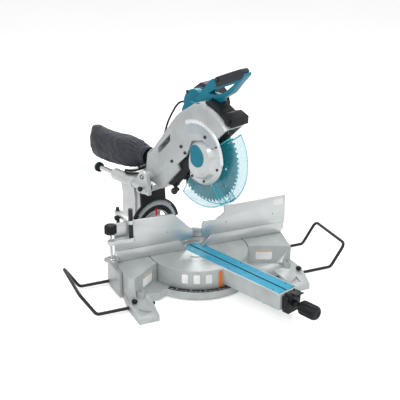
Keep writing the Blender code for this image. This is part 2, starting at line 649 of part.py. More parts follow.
# ---------------------------------------------------------------- bevel arm
def bevel_arm():
    """Column from the bevel hub to the two rail housings, all one casting."""
    y0 = BEVEL_Y + GAP
    disc = rod("Y", (0, 0, TABLE_TOP), 0.050, y0, y0 + 0.050, 28)
    column = prism([(-0.050, TABLE_TOP), (-0.044, 0.200), (-0.052, 0.2785), (0.052, 0.2785), (0.044, 0.200),
                    (0.050, TABLE_TOP)], 0.277, 0.352, "Y", 0.004)
    front_web = prism([(-0.040, TABLE_TOP), (-0.036, 0.243), (0.036, 0.243), (0.040, TABLE_TOP)],
                      y0 + 0.004, 0.300, "Y")
    parts = [column, front_web]
    for side in (-1, 1):
        parts.append(rod("Y", (side * RAIL_U, 0, RAIL_Z), SLEEVE_R, SLEEVE_SEAM + GAP, HOUSING_REAR,
                         24, 0.0012))
    deck = box((-RAIL_U, 0.2625, 0.2645), (RAIL_U, 0.3605, 0.2842))
    solid = joined(disc, *parts, deck)
    holes = [rod("Y", (side * RAIL_U, 0, RAIL_Z), RAIL_R + 0.0004, 0.2, 0.4, 20) for side in (-1, 1)]
    holes.append(rod("Y", (0, 0, TABLE_TOP), 0.0103, 0.2, 0.4, 16))
    solid = cut(solid, *holes)
    piece("bevel_arm", solid, SILVER, BEVEL)
    head = rod("Y", (0, 0, TABLE_TOP), 0.017, 0.3525, 0.366, 6)
    bolt = joined(rod("Y", (0, 0, TABLE_TOP), 0.010, 0.190, 0.364, 16), head)
    piece("bevel_pivot", bolt, STEEL, BEVEL)


def bevel_scale():
    """Black quadrant in front of the column, carrying the bevel scale."""
    ring = arc((0, TABLE_TOP), SCALE_R, 12, 168, 20) + arc((0, TABLE_TOP), 0.0665, 168, 12, 16)
    plate = prism(ring, 0.222, 0.2335, "Y")
    cheek = prism([(-0.055, 0.150), (0.055, 0.150), (0.050, 0.246), (-0.058, 0.246)], 0.2240, 0.2335, "Y")
    cheek = cut(cheek, rod("Y", (0, 0, TABLE_TOP), 0.0665, 0.2, 0.3, 32))
    piece("bevel_scale", joined(plate, cheek), BLACK, BEVEL)


def bevel_fittings():
    pointer = prism([(-0.003, 0.148), (0.003, 0.148), (0.003, 0.172), (0.0, 0.181), (-0.003, 0.172)],
                    0.2130, 0.2160, "Y")
    piece("bevel_pointer", pointer, RED, TABLE)
    lock = frame("bevel_lock_axis", (0, 0.3665, TABLE_TOP), BEVEL)
    hub = rod("Y", (0, 0, TABLE_TOP), 0.015, 0.3665, 0.384, 16)
    arm = prism([(-0.007, TABLE_TOP), (0.007, TABLE_TOP), (0.030, 0.185), (0.018, 0.190)], 0.3705, 0.380, "Y")
    piece("bevel_lock_lever", joined(hub, arm), BLACK, lock)
    release = frame("release_lever_axis", (-0.062, 0.2265, 0.137), TABLE)
    red = rounded([(-0.074, 0.128), (-0.053, 0.124), (-0.050, 0.146), (-0.064, 0.160)], 0.006, 2)
    piece("release_lever", prism(red, 0.2085, 0.2180, "Y"), RED, release)


# ---------------------------------------------------------------- carriage and rails
def carriage():
    """Yoke on the front ends of the rails, with the two ears of the chop hinge."""
    parts = []
    for side in (-1, 1):
        parts.append(rod("Y", (side * RAIL_U, 0, RAIL_Z), SLEEVE_R - 0.0022, 0.176, SLEEVE_SEAM, 24, 0.0012))
        low, high = sorted((side * 0.0585, side * 0.0735))
        ear = [(0.168, 0.258), (0.232, 0.262), (0.232, 0.304)] + arc((PIVOT_Y, PIVOT_Z), 0.0205, 20, 165, 8)
        ear.append((0.170, 0.300))
        parts.append(prism(ear, low, high, "X"))
    bridge = box((-RAIL_U, 0.212, 0.2475), (RAIL_U, 0.250, 0.268))
    solid = joined(bridge, *parts)
    bores = [rod("Y", (side * RAIL_U, 0, RAIL_Z), RAIL_R + 0.0003, 0.1795, 0.4, 20) for side in (-1, 1)]
    solid = cut(solid, *bores, rod("X", (0, PIVOT_Y, PIVOT_Z), 0.0083, -0.1, 0.1, 16))
    piece("carriage", solid, SILVER, SLIDE)
    for name, side in (("left", -1), ("right", 1)):
        bar = rod("Y", (side * RAIL_U, 0, RAIL_Z), RAIL_R, 0.1800, RAIL_REAR, 20)
        piece("slide_rail_" + name, bar, CHROME, SLIDE)
        y = RAIL_REAR + GAP
        cap = lathe([(0.0, y), (0.0165, y), (0.0185, y + 0.002), (0.0185, y + 0.014), (0.013, y + 0.018),
                     (0.0, y + 0.018)], "Y", (side * RAIL_U, 0, RAIL_Z), 20)
        piece("rail_cap_" + name, cap, TEAL, SLIDE)
    shaft = rod("X", (0, PIVOT_Y, PIVOT_Z), 0.008, -0.0765, 0.0765, 16, 0.001)
    piece("pivot_shaft", shaft, STEEL, SLIDE)
    stop_axis = frame("stopper_pin_axis", (-0.0808, 0.192, RAIL_Z), SLIDE)
    pin = lathe([(0.0, -0.0808), (0.004, -0.0808), (0.004, -0.084), (0.009, -0.085), (0.009, -0.094),
                 (0.0, -0.094)], "X", (0, 0.192, RAIL_Z), 12)
    piece("stopper_pin", pin, BLACK, stop_axis)


# ---------------------------------------------------------------- saw head
def crown(angle, inset=0.0):
    """A point on top of the upper guard, whose radius falls from front to rear."""
    t = min(max((100.0 - angle) / 38.0, 0.0), 1.0)
    radius = REAR_R + (CASE_R - REAR_R) * (0.5 + 0.5 * cos(pi * t)) - inset
    return BLADE_Y + radius * cos(radians(angle)), BLADE_Z + radius * sin(radians(angle))


def case_outline(inset=0.0):
    """Side view of the upper guard and its arm, in table Y and Z."""
    top = [crown(137 - 97 * i / 20, inset) for i in range(21)]
    k = inset * 0.7
    rear = [(0.190 - k, 0.418 - k), (0.2165 - k, 0.400 - k), (0.2165, 0.3365), (0.2210, 0.320),
            (0.212, 0.3015), (0.188, 0.2985), (0.1345, 0.2867), (0.045, 0.3777), (0.055, 0.396),
            (0.012, 0.436)]
    pod = [(-0.004, 0.470), (-0.014, 0.494), (-0.060, 0.507), (-0.098, 0.494), (-0.118 - k, 0.516 + k)]
    return top + rear + pod


def case_shell():
    """The left edge is drawn in as a wide chamfer; the rest is straight."""
    bm = bmesh.new()
    rings = []
    for u, inset in ((CASE_LEFT, 0.012), (CASE_LEFT + 0.004, 0.0075), (CASE_LEFT + 0.018, 0.0),
                     (CASE_RIGHT, 0.0)):
        rings.append([bm.verts.new((u, y, z)) for y, z in case_outline(inset)])
    for one, two in zip(rings, rings[1:]):
        for k in range(len(one)):
            n = (k + 1) % len(one)
            if (one[k].co - one[n].co).length > 1e-7:
                bm.faces.new((one[k], one[n], two[n], two[k]))
    bm.faces.new(rings[0])
    bm.faces.new(list(reversed(rings[-1])))
    return to_mesh(bm)


def saw_case():
    c = (BLADE_Y, BLADE_Z)
    corner = (c[0] + 0.1555, c[1] + 0.020)
    outline = arc(c, CHAMBER_R, 86, 366, 44)[:-1] + [corner] + arc(c, 0.1555, 12, 86, 10)
    chamber = prism(outline, -0.0315, 0.0285, "X")
    window = prism([(0.088, 0.493), (0.0886, 0.4666), (0.1438, 0.4126), (0.1536, 0.4127), (0.1512, 0.4296)],
                   -0.1, 0.1, "X")
    hub = rod("X", (0, PIVOT_Y, PIVOT_Z), 0.0165, -0.0575, 0.0575, 20)
    solid = joined(cut(case_shell(), chamber, window), hub)
    solid = cut(solid, rod("X", (0, PIVOT_Y, PIVOT_Z), 0.0083, -0.1, 0.1, 16),
                rod("X", (0, BLADE_Y, BLADE_Z), 0.0145, 0.02, 0.05, 16),
                rod("Y", (0, 0, 0.364), 0.0180, 0.180, 0.3, 20))
    piece("saw_case", solid, SILVER, HEAD)


def inner_cover():
    outline = [(0.010, 0.4335), (0.053, 0.3945), (0.043, 0.3777), (0.113, 0.3070), (0.070, 0.3110),
               (0.004, 0.386)]
    piece("inner_cover", prism(outline, -0.0310, -0.0250, "X"), BLACK, HEAD)


def centre_cover():
    """Silver cover over the arbor, with its raised pod."""
    centre = (-0.040, 0.452)
    disc = lathe([(0.0, -0.0310), (0.094, -0.0310), (0.101, -0.0270), (0.102, -0.0245), (0.0, -0.0245)],
                 "X", (0, *centre), 48)
    upper = prism([(0.003, 0.300), (0.003, 0.600), (0.12, 0.600), (0.12, 0.300)], -0.1, 0.1, "X")
    disc = cut(disc, upper)
    pod = [(-0.0055, 0.4683), (-0.0152, 0.4922), (-0.060, 0.5050), (-0.097, 0.4925), (-0.118, 0.455),
           (-0.112, 0.402), (-0.075, 0.374), (-0.030, 0.372), (0.0, 0.392), (0.003, 0.430)]
    raised = prism(rounded(pod, 0.012, 3), -0.0300, -0.0460, "X", 0.010)
    piece("centre_cover", joined(disc, raised), SILVER, HEAD)


def front_cover():
    """Black cap over the front of the upper guard, with the guard's roller bracket."""
    c = (BLADE_Y, BLADE_Z)
    strip = arc(c, CASE_R + GAP, 134, 100, 8) + arc(c, CASE_R + 0.010, 100, 134, 8)
    cap = prism(strip, -0.030, 0.030, "X")
    box_side = [(-0.1735, 0.5765), (-0.189, 0.5755), (-0.190, 0.600), (-0.158, 0.613), (-0.135, 0.606)]
    nose = prism(box_side, -0.036, 0.036, "X")
    solid = cut(joined(cap, nose), rod("X", (0, *c), CASE_R + GAP, -0.1, 0.1, 64))
    piece("guard_front_cover", solid, BLACK, HEAD)


def bar_profile(a, b, half_a, half_b):
    """Outline of a bar with round ends, wider at one end than at the other."""
    d = Vector(b) - Vector(a)
    turn = math.degrees(math.atan2(d.y, d.x))
    lean = math.degrees(math.asin((half_a - half_b) / d.length))
    return (arc(a, half_a, turn + 90 - lean, turn + 270 + lean, 14)
            + arc(b, half_b, turn - 90 + lean, turn + 90 - lean, 10))


def motor():
    at = (0, MOTOR_Y, MOTOR_Z)
    u0 = CASE_RIGHT + GAP
    gear = bar_profile((MOTOR_Y - 0.023, MOTOR_Z - 0.019), (BLADE_Y, BLADE_Z), 0.0435, 0.042)
    gear_case = prism(gear, u0, u0 + 0.036, "X", 0.004)
    gear_case = cut(gear_case, rod("X", (0, BLADE_Y, BLADE_Z), 0.0125, 0.0, 0.060, 16))
    piece("gear_housing", gear_case, TEAL, HEAD)
    u1 = u0 + 0.036 + GAP
    shell = rod("X", at, 0.0540, u1, 0.108, 32, 0.004)
    guard = rod("Y", (LEAD_U, 0, LEAD_Z), 0.0075, MOTOR_Y + 0.040, LEAD_Y - GAP, 12, 0.001)
    piece("motor_housing", joined(shell, guard), TEAL, HEAD)
    u2 = 0.108 + GAP
    cap = rod("X", at, 0.0680, u2, 0.186, 10, 0.012)
    slots = []
    for front, rear in ((MOTOR_Y - 0.2, MOTOR_Y - 0.054), (MOTOR_Y + 0.054, MOTOR_Y + 0.2)):
        for k in (-2, -1, 0, 1, 2):
            z = MOTOR_Z + k * 0.016
            slots.append(box((0.140, front, z - 0.003), (0.170, rear, z + 0.003)))
    piece("motor_cap", cut(cap, *slots), GREY, HEAD, 20)


HANDLE_LOW, HANDLE_HIGH = 0.005, 0.035
GRIP_REAR, GRIP_FRONT = Vector((-0.0815, 0.6710)), Vector((-0.1655, 0.7075))
GRIP_ALONG = (GRIP_FRONT - GRIP_REAR).normalized()
GRIP_UP = Vector((-GRIP_ALONG.y, GRIP_ALONG.x)) * -1.0


def on_grip(along, up):
    """A point from its distance along the underside of the grip and its height above it."""
    return tuple(GRIP_REAR + GRIP_ALONG * along + GRIP_UP * up)


def handle():
    """Closed D handle that stands on the case, with its dark grip, trigger and lock-off."""
    c = (BLADE_Y, BLADE_Z)
    seat = [crown(73 + 4.4 * i, -0.0004) for i in range(6)] + arc(c, CASE_R + 0.0106, 98, 108, 3)
    outer = [(-0.103, 0.640), (-0.138, 0.662), (-0.172, 0.702)]
    grip_low = [on_grip(0.114, -0.001), on_grip(0.132, 0.0095), on_grip(0.1315, 0.0155)]
    back = [on_grip(-0.002, 0.0155), on_grip(-0.002, 0.0315), (-0.053, 0.692), (0.0185, 0.613)]
    body = prism(seat + rounded(outer + grip_low + back, 0.006, 2), HANDLE_LOW, HANDLE_HIGH, "X")
    hole = rounded([(-0.042, 0.646), (-0.070, 0.6628), tuple(GRIP_FRONT), (-0.145, 0.688), (-0.116, 0.664),
                    (-0.080, 0.6475)], 0.005, 2)
    slot = prism([on_grip(0.010, -0.004), on_grip(0.079, -0.004), on_grip(0.079, 0.010),
                  on_grip(0.010, 0.010)], 0.0128, 0.0272, "X")
    button = on_grip(0.012, 0.0235)
    body = cut(body, prism(hole, -0.1, 0.1, "X"), slot)
    piece("handle", body, TEAL, HEAD)
    over = rounded([on_grip(0.1315, 0.0158), on_grip(0.125, 0.0315), on_grip(0.060, 0.033),
                    on_grip(-0.0015, 0.033), on_grip(-0.0015, 0.0158)], 0.008, 3)
    grip = soft_prism(over, HANDLE_LOW, HANDLE_HIGH, "X", 0.0035)
    grip = cut(grip, rod("X", (0, *button), 0.0058, HANDLE_LOW - 0.01, HANDLE_LOW + 0.011, 14))
    piece("handle_grip", grip, GREY, HEAD)
    lock = frame("lock_off_axis", (HANDLE_LOW, *button), HEAD)
    pusher = rod("X", (0, *button), 0.0054, HANDLE_LOW - 0.0045, HANDLE_LOW + 0.0060, 14, 0.0008)
    piece("lock_off_button", pusher, BLACK, lock)
    hinge = on_grip(0.0755, 0.004)
    pull = frame("trigger_axis", (0.020, *hinge), HEAD)
    bar = rounded([on_grip(0.0770, 0.0065), on_grip(0.0770, -0.001), on_grip(0.060, -0.0030),
                   on_grip(0.022, -0.0035), on_grip(0.0125, -0.001), on_grip(0.0125, 0.0045)], 0.002, 2)
    piece("trigger", prism(bar, 0.0133, 0.0267, "X"), GREY, pull)


def blade_and_guard():
    c = (BLADE_Y, BLADE_Z)
    step = 360.0 / BLADE_TEETH
    rim = []
    for i in range(BLADE_TEETH):
        for turn, radius in ((0.0, BLADE_R), (0.30, BLADE_R - 0.0005), (0.42, BLADE_R - 0.0085),
                             (0.75, BLADE_R - 0.0080)):
            t = radians((i + turn) * step)
            rim.append((c[0] + radius * cos(t), c[1] + radius * sin(t)))
    disc = prism(rim, -BLADE_T / 2, BLADE_T / 2, "X")
    disc = cut(disc, rod("X", (0, *c), 0.0123, -0.1, 0.1, 24))
    spin = frame("blade_axis", (0, *c), HEAD)
    piece("saw_blade", disc, STEEL, spin)
    shaft = rod("X", (0, *c), 0.0118, -0.0145, 0.040, 16)
    hub = [rod("X", (0, *c), 0.024, -0.0085, -0.0016, 20), rod("X", (0, *c), 0.024, 0.0016, 0.0085, 20),
           rod("X", (0, *c), 0.0105, -0.0200, -0.0140, 6)]
    piece("blade_flange", joined(shaft, *hub), STEEL, spin)
    guard_sector("lower_guard_front", GUARD_R, GUARD_HALF, 143, 236)
    guard_sector("lower_guard_rear", GUARD_R - 0.0026, GUARD_HALF - 0.0026, 224, 302)


def guard_sector(name, radius, g, start, end):
    """A clear U-section sector with a ring round the arbor on each side to turn on."""
    c = (BLADE_Y, BLADE_Z)
    t = 0.0020
    walls = [(0.046, -g), (radius - 0.003, -g), (radius, 0.003 - g), (radius, g - 0.003), (radius - 0.003, g),
             (0.046, g), (0.046, g - t), (radius - 0.003 - t, g - t), (radius - t, g - 0.003 - t),
             (radius - t, 0.003 + t - g), (radius - 0.003 - t, t - g), (0.046, t - g)]
    sector = lathe(walls, "X", (0, *c), 10, start, end)
    rings = [pipe("X", (0, *c), 0.050, 0.030, *sorted((side * g, side * (g - t))), 20) for side in (-1, 1)]
    swing = frame(name + "_axis", (0, *c), HEAD)
    piece(name, joined(sector, *rings), CLEAR, swing)


def loft(sections):
    """A closed skin over rings of points, capped at both ends."""
    bm = bmesh.new()
    rings = [[bm.verts.new(p) for p in ring] for ring in sections]
    for one, two in zip(rings, rings[1:]):
        for k in range(len(one)):
            n = (k + 1) % len(one)
            bm.faces.new((one[k], one[n], two[n], two[k]))
    bm.faces.new(rings[0])
    bm.faces.new(list(reversed(rings[-1])))
    return to_mesh(bm)


BAG_STATIONS = [(0.270, 0.336, 0.392, 0.030), (0.285, 0.322, 0.403, 0.036),
                (0.315, 0.304, 0.4095, 0.040), (0.370, 0.2950, 0.4090, 0.0440),
                (0.440, 0.2880, 0.4060, BAG_HALF), (0.510, 0.2860, 0.4050, BAG_HALF),
                (0.550, 0.2890, 0.4080, 0.0450), (0.570, 0.3000, 0.4020, 0.0400),
                (0.578, 0.325, 0.385, 0.026)]
BAG_SHAPE = [(0.40, 0.0), (0.70, 0.05), (0.83, 0.16), (1.0, 0.42), (1.0, 0.66), (0.84, 0.88), (0.45, 1.0)]


def bag_skin(inset):
    ring_shape = BAG_SHAPE + [(-w, t) for w, t in reversed(BAG_SHAPE)]
    sections = []
    for i, (y, low, high, half) in enumerate(BAG_STATIONS):
        y += inset if i == 0 else -inset if i == len(BAG_STATIONS) - 1 else 0.0
        low, high, half = low + inset, high - inset, half - inset
        sections.append([(w * half, y, low + t * (high - low)) for w, t in ring_shape])
    return loft(sections)


def dust_port():
    z = 0.364
    nozzle = joined(pipe("Y", (0, 0, z), 0.0205, 0.0180, 0.2168, 0.2600, 24),
                    pipe("Y", (0, 0, z), 0.0260, 0.0180, 0.2168, 0.2210, 24))
    piece("dust_nozzle", nozzle, BLACK, HEAD)
    neck = rod("Y", (0, 0, z), 0.0275, 0.2440, 0.275, 24, 0.001)
    skin = joined(bag_skin(0.0), neck)
    hollow = joined(bag_skin(0.0022), rod("Y", (0, 0, z), 0.0209, 0.20, 0.285, 24))
    piece("dust_bag", cut(skin, hollow), FABRIC, HEAD)


LEAD_ROUTE = [(0.0895, 0.175, 0.5571), (0.086, 0.190, 0.5475), (0.078, 0.204, 0.5240),
              (0.064, 0.222, 0.4740), (0.050, 0.234, 0.4000), (0.042, 0.237, 0.3480),
              (0.018, 0.243, 0.3220), (-0.018, 0.2465, 0.3142), (-0.050, 0.2587, 0.3095),
              (-0.0675, 0.288, 0.3075), (-0.050, 0.3172, 0.3068), (-0.018, 0.324, 0.2940),
              (0.018, 0.319, 0.2925), (0.044, 0.308, 0.3025), (0.068, 0.303, 0.3080),
              (0.091, 0.304, 0.2950), (0.104, 0.313, 0.2550), (0.107, 0.332, 0.1800),
              (0.107, 0.345, 0.1000), (0.107, 0.351, 0.0500), (0.107, 0.3640, 0.0165),
              (0.107, 0.395, CORD_R + 0.0002)]
COIL_IN, COIL_OUT, COIL_H = 0.028, 0.052, 0.0145
COIL = (0.107 + COIL_OUT + CORD_R + GAP, 0.395)
LOOSE_END = COIL_OUT - CORD_R - 0.0001          # the last turn leaves the coil here, along X


def power_lead():
    """Mains lead from the motor, over the rails to a coil on the bench, and its plug."""
    turn = Matrix.Rotation(MITRE_REST, 4, "Z")
    start = Vector((LEAD_U, LEAD_Y + GAP, LEAD_Z))
    route = [turn @ Vector(p) for p in [start, *LEAD_ROUTE]]
    low = CORD_R + 0.0002
    path = [Vector((p.x, p.y, max(p.z, low))) for p in flow(route, 66)]
    tube("power_cord", path, CORD_R, RUBBER, ROOT, 2)
    w, h = 0.004, COIL_H
    ring = [(COIL_IN, w), (COIL_IN + w, 0.0002), (COIL_OUT - w, 0.0002), (COIL_OUT, w), (COIL_OUT, h - w),
            (COIL_OUT - w, h), (COIL_IN + w, h), (COIL_IN, h - w)]
    coil = lathe(ring, "Z", (*COIL, 0), 26)
    coil.transform(turn)
    piece("cord_coil", coil, RUBBER, ROOT, 60)
    x, y = COIL[0], COIL[1] - LOOSE_END
    tail = rod("X", (0, y, 0.0062), CORD_R, x - 0.072, x - 0.027, 10)
    body = soft_prism([(y - 0.019, 0.0002), (y + 0.019, 0.0002), (y + 0.017, 0.013), (y - 0.017, 0.013)],
                      x - 0.110, x - 0.070, "X", 0.003)
    pins = [rod("X", (0, y + k * 0.0095, 0.0066), 0.0024, x - 0.129, x - 0.106, 10) for k in (-1, 1)]
    plug = joined(body, tail, *pins)
    plug.transform(turn)
    piece("plug", plug, RUBBER, ROOT)


def build():
    base_casting()
    mitre_scale()
    fixed_fence()
    sliding_fence("sliding_fence_left", SLIDING_LEFT, -1)
    sliding_fence("sliding_fence_right", SLIDING_RIGHT, 1)
    fence_knob("fence_knob_left", -0.200)
    fence_knob("fence_knob_right", 0.200)
    holder_bar("holder_left", -1, 0.405, 0.050)
    holder_bar("holder_right", 1, 0.434, 0.052)
    holder_knob("holder_knob_left", -0.280)
    holder_knob("holder_knob_right", 0.308)
    vise()
    turntable()
    kerf_boards()
    table_fittings()
    bevel_arm()
    bevel_scale()
    bevel_fittings()
    carriage()
    saw_case()
    inner_cover()
    centre_cover()
    front_cover()
    motor()
    handle()
    blade_and_guard()
    dust_port()
    power_lead()


build()
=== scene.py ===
"""Looks of the sliding mitre saw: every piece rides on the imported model's bodies."""
import json
import math
from math import cos, pi, radians, sin

import bmesh
import bpy
from mathutils import Matrix, Vector, noise


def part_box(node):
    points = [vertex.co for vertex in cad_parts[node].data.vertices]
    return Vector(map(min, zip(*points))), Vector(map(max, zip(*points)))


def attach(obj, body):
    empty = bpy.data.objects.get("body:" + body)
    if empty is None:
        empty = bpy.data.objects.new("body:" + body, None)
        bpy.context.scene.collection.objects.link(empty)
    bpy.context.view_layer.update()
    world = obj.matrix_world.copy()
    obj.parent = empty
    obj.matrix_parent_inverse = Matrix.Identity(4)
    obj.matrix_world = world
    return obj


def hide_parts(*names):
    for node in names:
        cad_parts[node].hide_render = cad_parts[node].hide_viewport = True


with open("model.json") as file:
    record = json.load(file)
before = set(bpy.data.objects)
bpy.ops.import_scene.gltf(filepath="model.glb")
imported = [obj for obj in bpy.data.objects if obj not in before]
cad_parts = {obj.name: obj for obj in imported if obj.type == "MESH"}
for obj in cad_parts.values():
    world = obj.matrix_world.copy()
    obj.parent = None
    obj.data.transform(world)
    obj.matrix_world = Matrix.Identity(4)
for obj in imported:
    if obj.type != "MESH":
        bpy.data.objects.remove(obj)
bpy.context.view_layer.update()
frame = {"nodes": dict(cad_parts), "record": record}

# ---------------------------------------------------------------- places shared with the CAD, in metres
MITRE_REST = radians(20.2)
BOX_SHIFT = Vector((-0.0155, -0.0261, 0.0))
BASE = Matrix.Translation(BOX_SHIFT)
TABLE = BASE @ Matrix.Rotation(MITRE_REST, 4, "Z")
TABLE_TOP, TABLE_R = 0.097, 0.17
HUB = 1e-5                  # a radius on the axis itself
ARM_END = -0.409
PIVOT_Y, PIVOT_Z = 0.198, 0.32
BLADE_Y, BLADE_Z = -0.035, 0.439
MOTOR_Y, MOTOR_Z = 0.095, 0.565
RAIL_U, RAIL_Z = 0.06, 0.2815
CORD_R = 0.0035

BODY_OF = {n: body for body, members in frame["record"]["behaviour"]["bodies"].items() for n in members}

# ---------------------------------------------------------------- camera
TARGET = Vector((-0.0075, -0.0261, 0.2731))
AZIMUTH, ELEVATION, DISTANCE = radians(-22.9), radians(22.7), 2.82
aim = Vector((sin(AZIMUTH) * cos(ELEVATION), -cos(AZIMUTH) * cos(ELEVATION), sin(ELEVATION)))
camera = bpy.data.objects.new("camera", bpy.data.cameras.new("camera"))
camera.location = TARGET + aim * DISTANCE
camera.rotation_euler = (-aim).to_track_quat("-Z", "Y").to_euler()
camera.data.lens = 76.5
camera.data.sensor_width = 36.0
bpy.context.collection.objects.link(camera)
bpy.context.scene.camera = camera
bpy.context.scene.view_settings.view_transform = "Standard"


# ---------------------------------------------------------------- materials
class Look:
    """A node material under construction, with object coordinates ready to use."""

    def __init__(self, name, rough, metal=0.0):
        self.mat = bpy.data.materials.new(name)
        self.mat.use_nodes = True
        self.tree = self.mat.node_tree
        self.shader = self.tree.nodes["Principled BSDF"]
        self.shader.inputs["Metallic"].default_value = metal
        self.shader.inputs["Roughness"].default_value = rough
        self.where = self.add("ShaderNodeTexCoord").outputs["Object"]

    def add(self, kind, **settings):
        node = self.tree.nodes.new(kind)
        for key, value in settings.items():
            if hasattr(node, key):
                setattr(node, key, value)
            else:
                node.inputs[key.replace("_", " ")].default_value = value
        return node

    def link(self, out, into):
        self.tree.links.new(out, into)
        return out

    def stretched(self, scale, turn=0.0):
        place = self.add("ShaderNodeMapping")
        place.inputs["Scale"].default_value = scale
        place.inputs["Rotation"].default_value = (0.0, 0.0, turn)
        self.link(self.where, place.inputs["Vector"])
        return place.outputs["Vector"]

    def noise(self, scale, detail=4.0, vector=None):
        made = self.add("ShaderNodeTexNoise", Scale=scale, Detail=detail)
        self.link(vector or self.where, made.inputs["Vector"])
        return made.outputs["Fac"]

    def ramp(self, fac, stops):
        made = self.add("ShaderNodeValToRGB")
        line = made.color_ramp
        while len(line.elements) < len(stops):
            line.elements.new(0.5)
        for element, (place, rgb) in zip(line.elements, stops):
            element.position = place
            element.color = (*rgb, 1.0)
        self.link(fac, made.inputs["Fac"])
        return made.outputs["Color"]

    def spread(self, fac, low, high, into="Roughness"):
        made = self.add("ShaderNodeMapRange", To_Min=low, To_Max=high, From_Min=0.3, From_Max=0.7)
        self.link(fac, made.inputs["Value"])
        if into:
            self.link(made.outputs["Result"], self.shader.inputs[into])
        return made.outputs["Result"]

    def edges(self, colour, worn, radius=0.0012, low=0.02, high=0.14):
        """Mixes a worn colour in along convex edges, broken up by noise."""
        soft = self.add("ShaderNodeBevel", samples=4, Radius=radius)
        flat = self.add("ShaderNodeNewGeometry")
        dot = self.add("ShaderNodeVectorMath", operation="DOT_PRODUCT")
        self.link(soft.outputs["Normal"], dot.inputs[0])
        self.link(flat.outputs["Normal"], dot.inputs[1])
        turned = self.add("ShaderNodeMapRange", From_Min=1.0 - low, From_Max=1.0 - high, To_Min=0.0,
                          To_Max=1.0)
        self.link(dot.outputs["Value"], turned.inputs["Value"])
        broken = self.add("ShaderNodeMath", operation="MULTIPLY")
        self.link(turned.outputs["Result"], broken.inputs[0])
        self.link(self.noise(260.0, 6.0), broken.inputs[1])
        mix = self.add("ShaderNodeMix", data_type="RGBA")
        self.link(broken.outputs["Value"], mix.inputs["Factor"])
        self.link(colour, mix.inputs[6])
        mix.inputs[7].default_value = (*worn, 1.0)
        return mix.outputs[2]

    def bump(self, *layers):
        """Layers of (height, distance, strength), the coarsest first."""
        normal = None
        for height, distance, strength in layers:
            made = self.add("ShaderNodeBump", Distance=distance, Strength=strength)
            self.link(height, made.inputs["Height"])
            if normal:
                self.link(normal, made.inputs["Normal"])
            normal = made.outputs["Normal"]
        self.link(normal, self.shader.inputs["Normal"])

    def set(self, **values):
        for name, value in values.items():
            self.shader.inputs[name.replace("_", " ")].default_value = value

    def colour(self, socket):
        self.link(socket, self.shader.inputs["Base Color"])


def shades(rgb, spread):
    """A darker and a lighter neighbour of a colour."""
    return tuple(c * (1 - spread) for c in rgb), tuple(min(1.0, c * (1 + spread)) for c in rgb)


def painted(name, rgb, rough=0.38, metal=0.35, worn=(0.75, 0.76, 0.77)):
    """Metallic paint on a sand casting: orange peel, flake, faint dirt and bright edges."""
    look = Look(name, rough, metal)
    dark, light = shades(rgb, 0.1)
    base = look.ramp(look.noise(18.0, 8.0), [(0.3, dark), (0.7, light)])
    look.colour(look.edges(base, worn))
    look.spread(look.noise(140.0, 5.0), rough - 0.07, rough + 0.09)
    look.bump((look.noise(420.0, 3.0), 0.0004, 0.16), (look.noise(2600.0, 2.0), 0.0001, 0.12))
    look.set(Coat_Weight=0.18, Coat_Roughness=0.25)
    return look.mat


def machined(name, rgb, rough=0.27, along="X", turn=0.0):
    """Milled aluminium: fine lines along one direction, with patches of different polish."""
    look = Look(name, rough, 1.0)
    scale = {"X": (18.0, 1500.0, 1500.0), "Y": (1500.0, 18.0, 1500.0)}[along]
    lines = look.noise(1.0, 5.0, look.stretched(scale, turn))
    patches = look.noise(26.0, 5.0)
    dark, light = shades(rgb, 0.04)
    look.colour(look.ramp(lines, [(0.32, dark), (0.68, light)]))
    look.spread(patches, rough - 0.02, rough + 0.07)
    look.bump((lines, 0.00004, 0.05))
    return look.mat


def turned_metal(name, rgb, centre, axis, rough=0.24, rings=2600.0):
    """Metal ground in circles about an axis through centre: rings in the gloss and the shade."""
    look = Look(name, rough, 1.0)
    shift = look.add("ShaderNodeVectorMath", operation="SUBTRACT")
    look.link(look.where, shift.inputs[0])
    shift.inputs[1].default_value = centre
    across = look.add("ShaderNodeVectorMath", operation="CROSS_PRODUCT")
    look.link(shift.outputs["Vector"], across.inputs[0])
    across.inputs[1].default_value = axis
    away = look.add("ShaderNodeVectorMath", operation="LENGTH")
    look.link(across.outputs["Vector"], away.inputs[0])
    ring = look.add("ShaderNodeTexNoise", noise_dimensions="1D", Scale=rings, Detail=3.0)
    look.link(away.outputs["Value"], ring.inputs["W"])
    dark, light = shades(rgb, 0.14)
    look.colour(look.ramp(ring.outputs["Fac"], [(0.3, dark), (0.7, light)]))
    look.spread(look.noise(60.0, 6.0), rough - 0.06, rough + 0.12)
    look.bump((ring.outputs["Fac"], 0.00005, 0.1))
    return look.mat


def plastic(name, rgb, rough=0.42, grain=1500.0, depth=0.22, coat=0.0, worn=None):
    """Moulded plastic: spark-eroded grain, slight colour drift and polished, paler edges."""
    look = Look(name, rough)
    dark, light = shades(rgb, 0.12)
    base = look.ramp(look.noise(30.0, 6.0), [(0.3, dark), (0.7, light)])
    look.colour(look.edges(base, worn or tuple(min(1.0, c * 1.5 + 0.03) for c in rgb), 0.0009))
    look.spread(look.noise(90.0, 5.0), rough - 0.06, rough + 0.08)
    look.bump((look.noise(grain, 2.0), 0.0002, depth))
    look.set(Coat_Weight=coat, Coat_Roughness=0.2, Specular_IOR_Level=0.25)
    return look.mat


def clear(name, rgb, alpha, rough=0.07):
    """Tinted polycarbonate: see-through, glossy, with faint scuffs."""
    look = Look(name, rough)
    dark, light = shades(rgb, 0.06)
    look.colour(look.ramp(look.noise(40.0, 5.0), [(0.3, dark), (0.7, light)]))
    look.spread(look.noise(30.0, 4.0), rough, rough + 0.04)
    look.bump((look.noise(12.0, 2.0), 0.0004, 0.04))
    look.set(Alpha=alpha, Specular_IOR_Level=0.4)
    look.mat.surface_render_method = "BLENDED"
    return look.mat


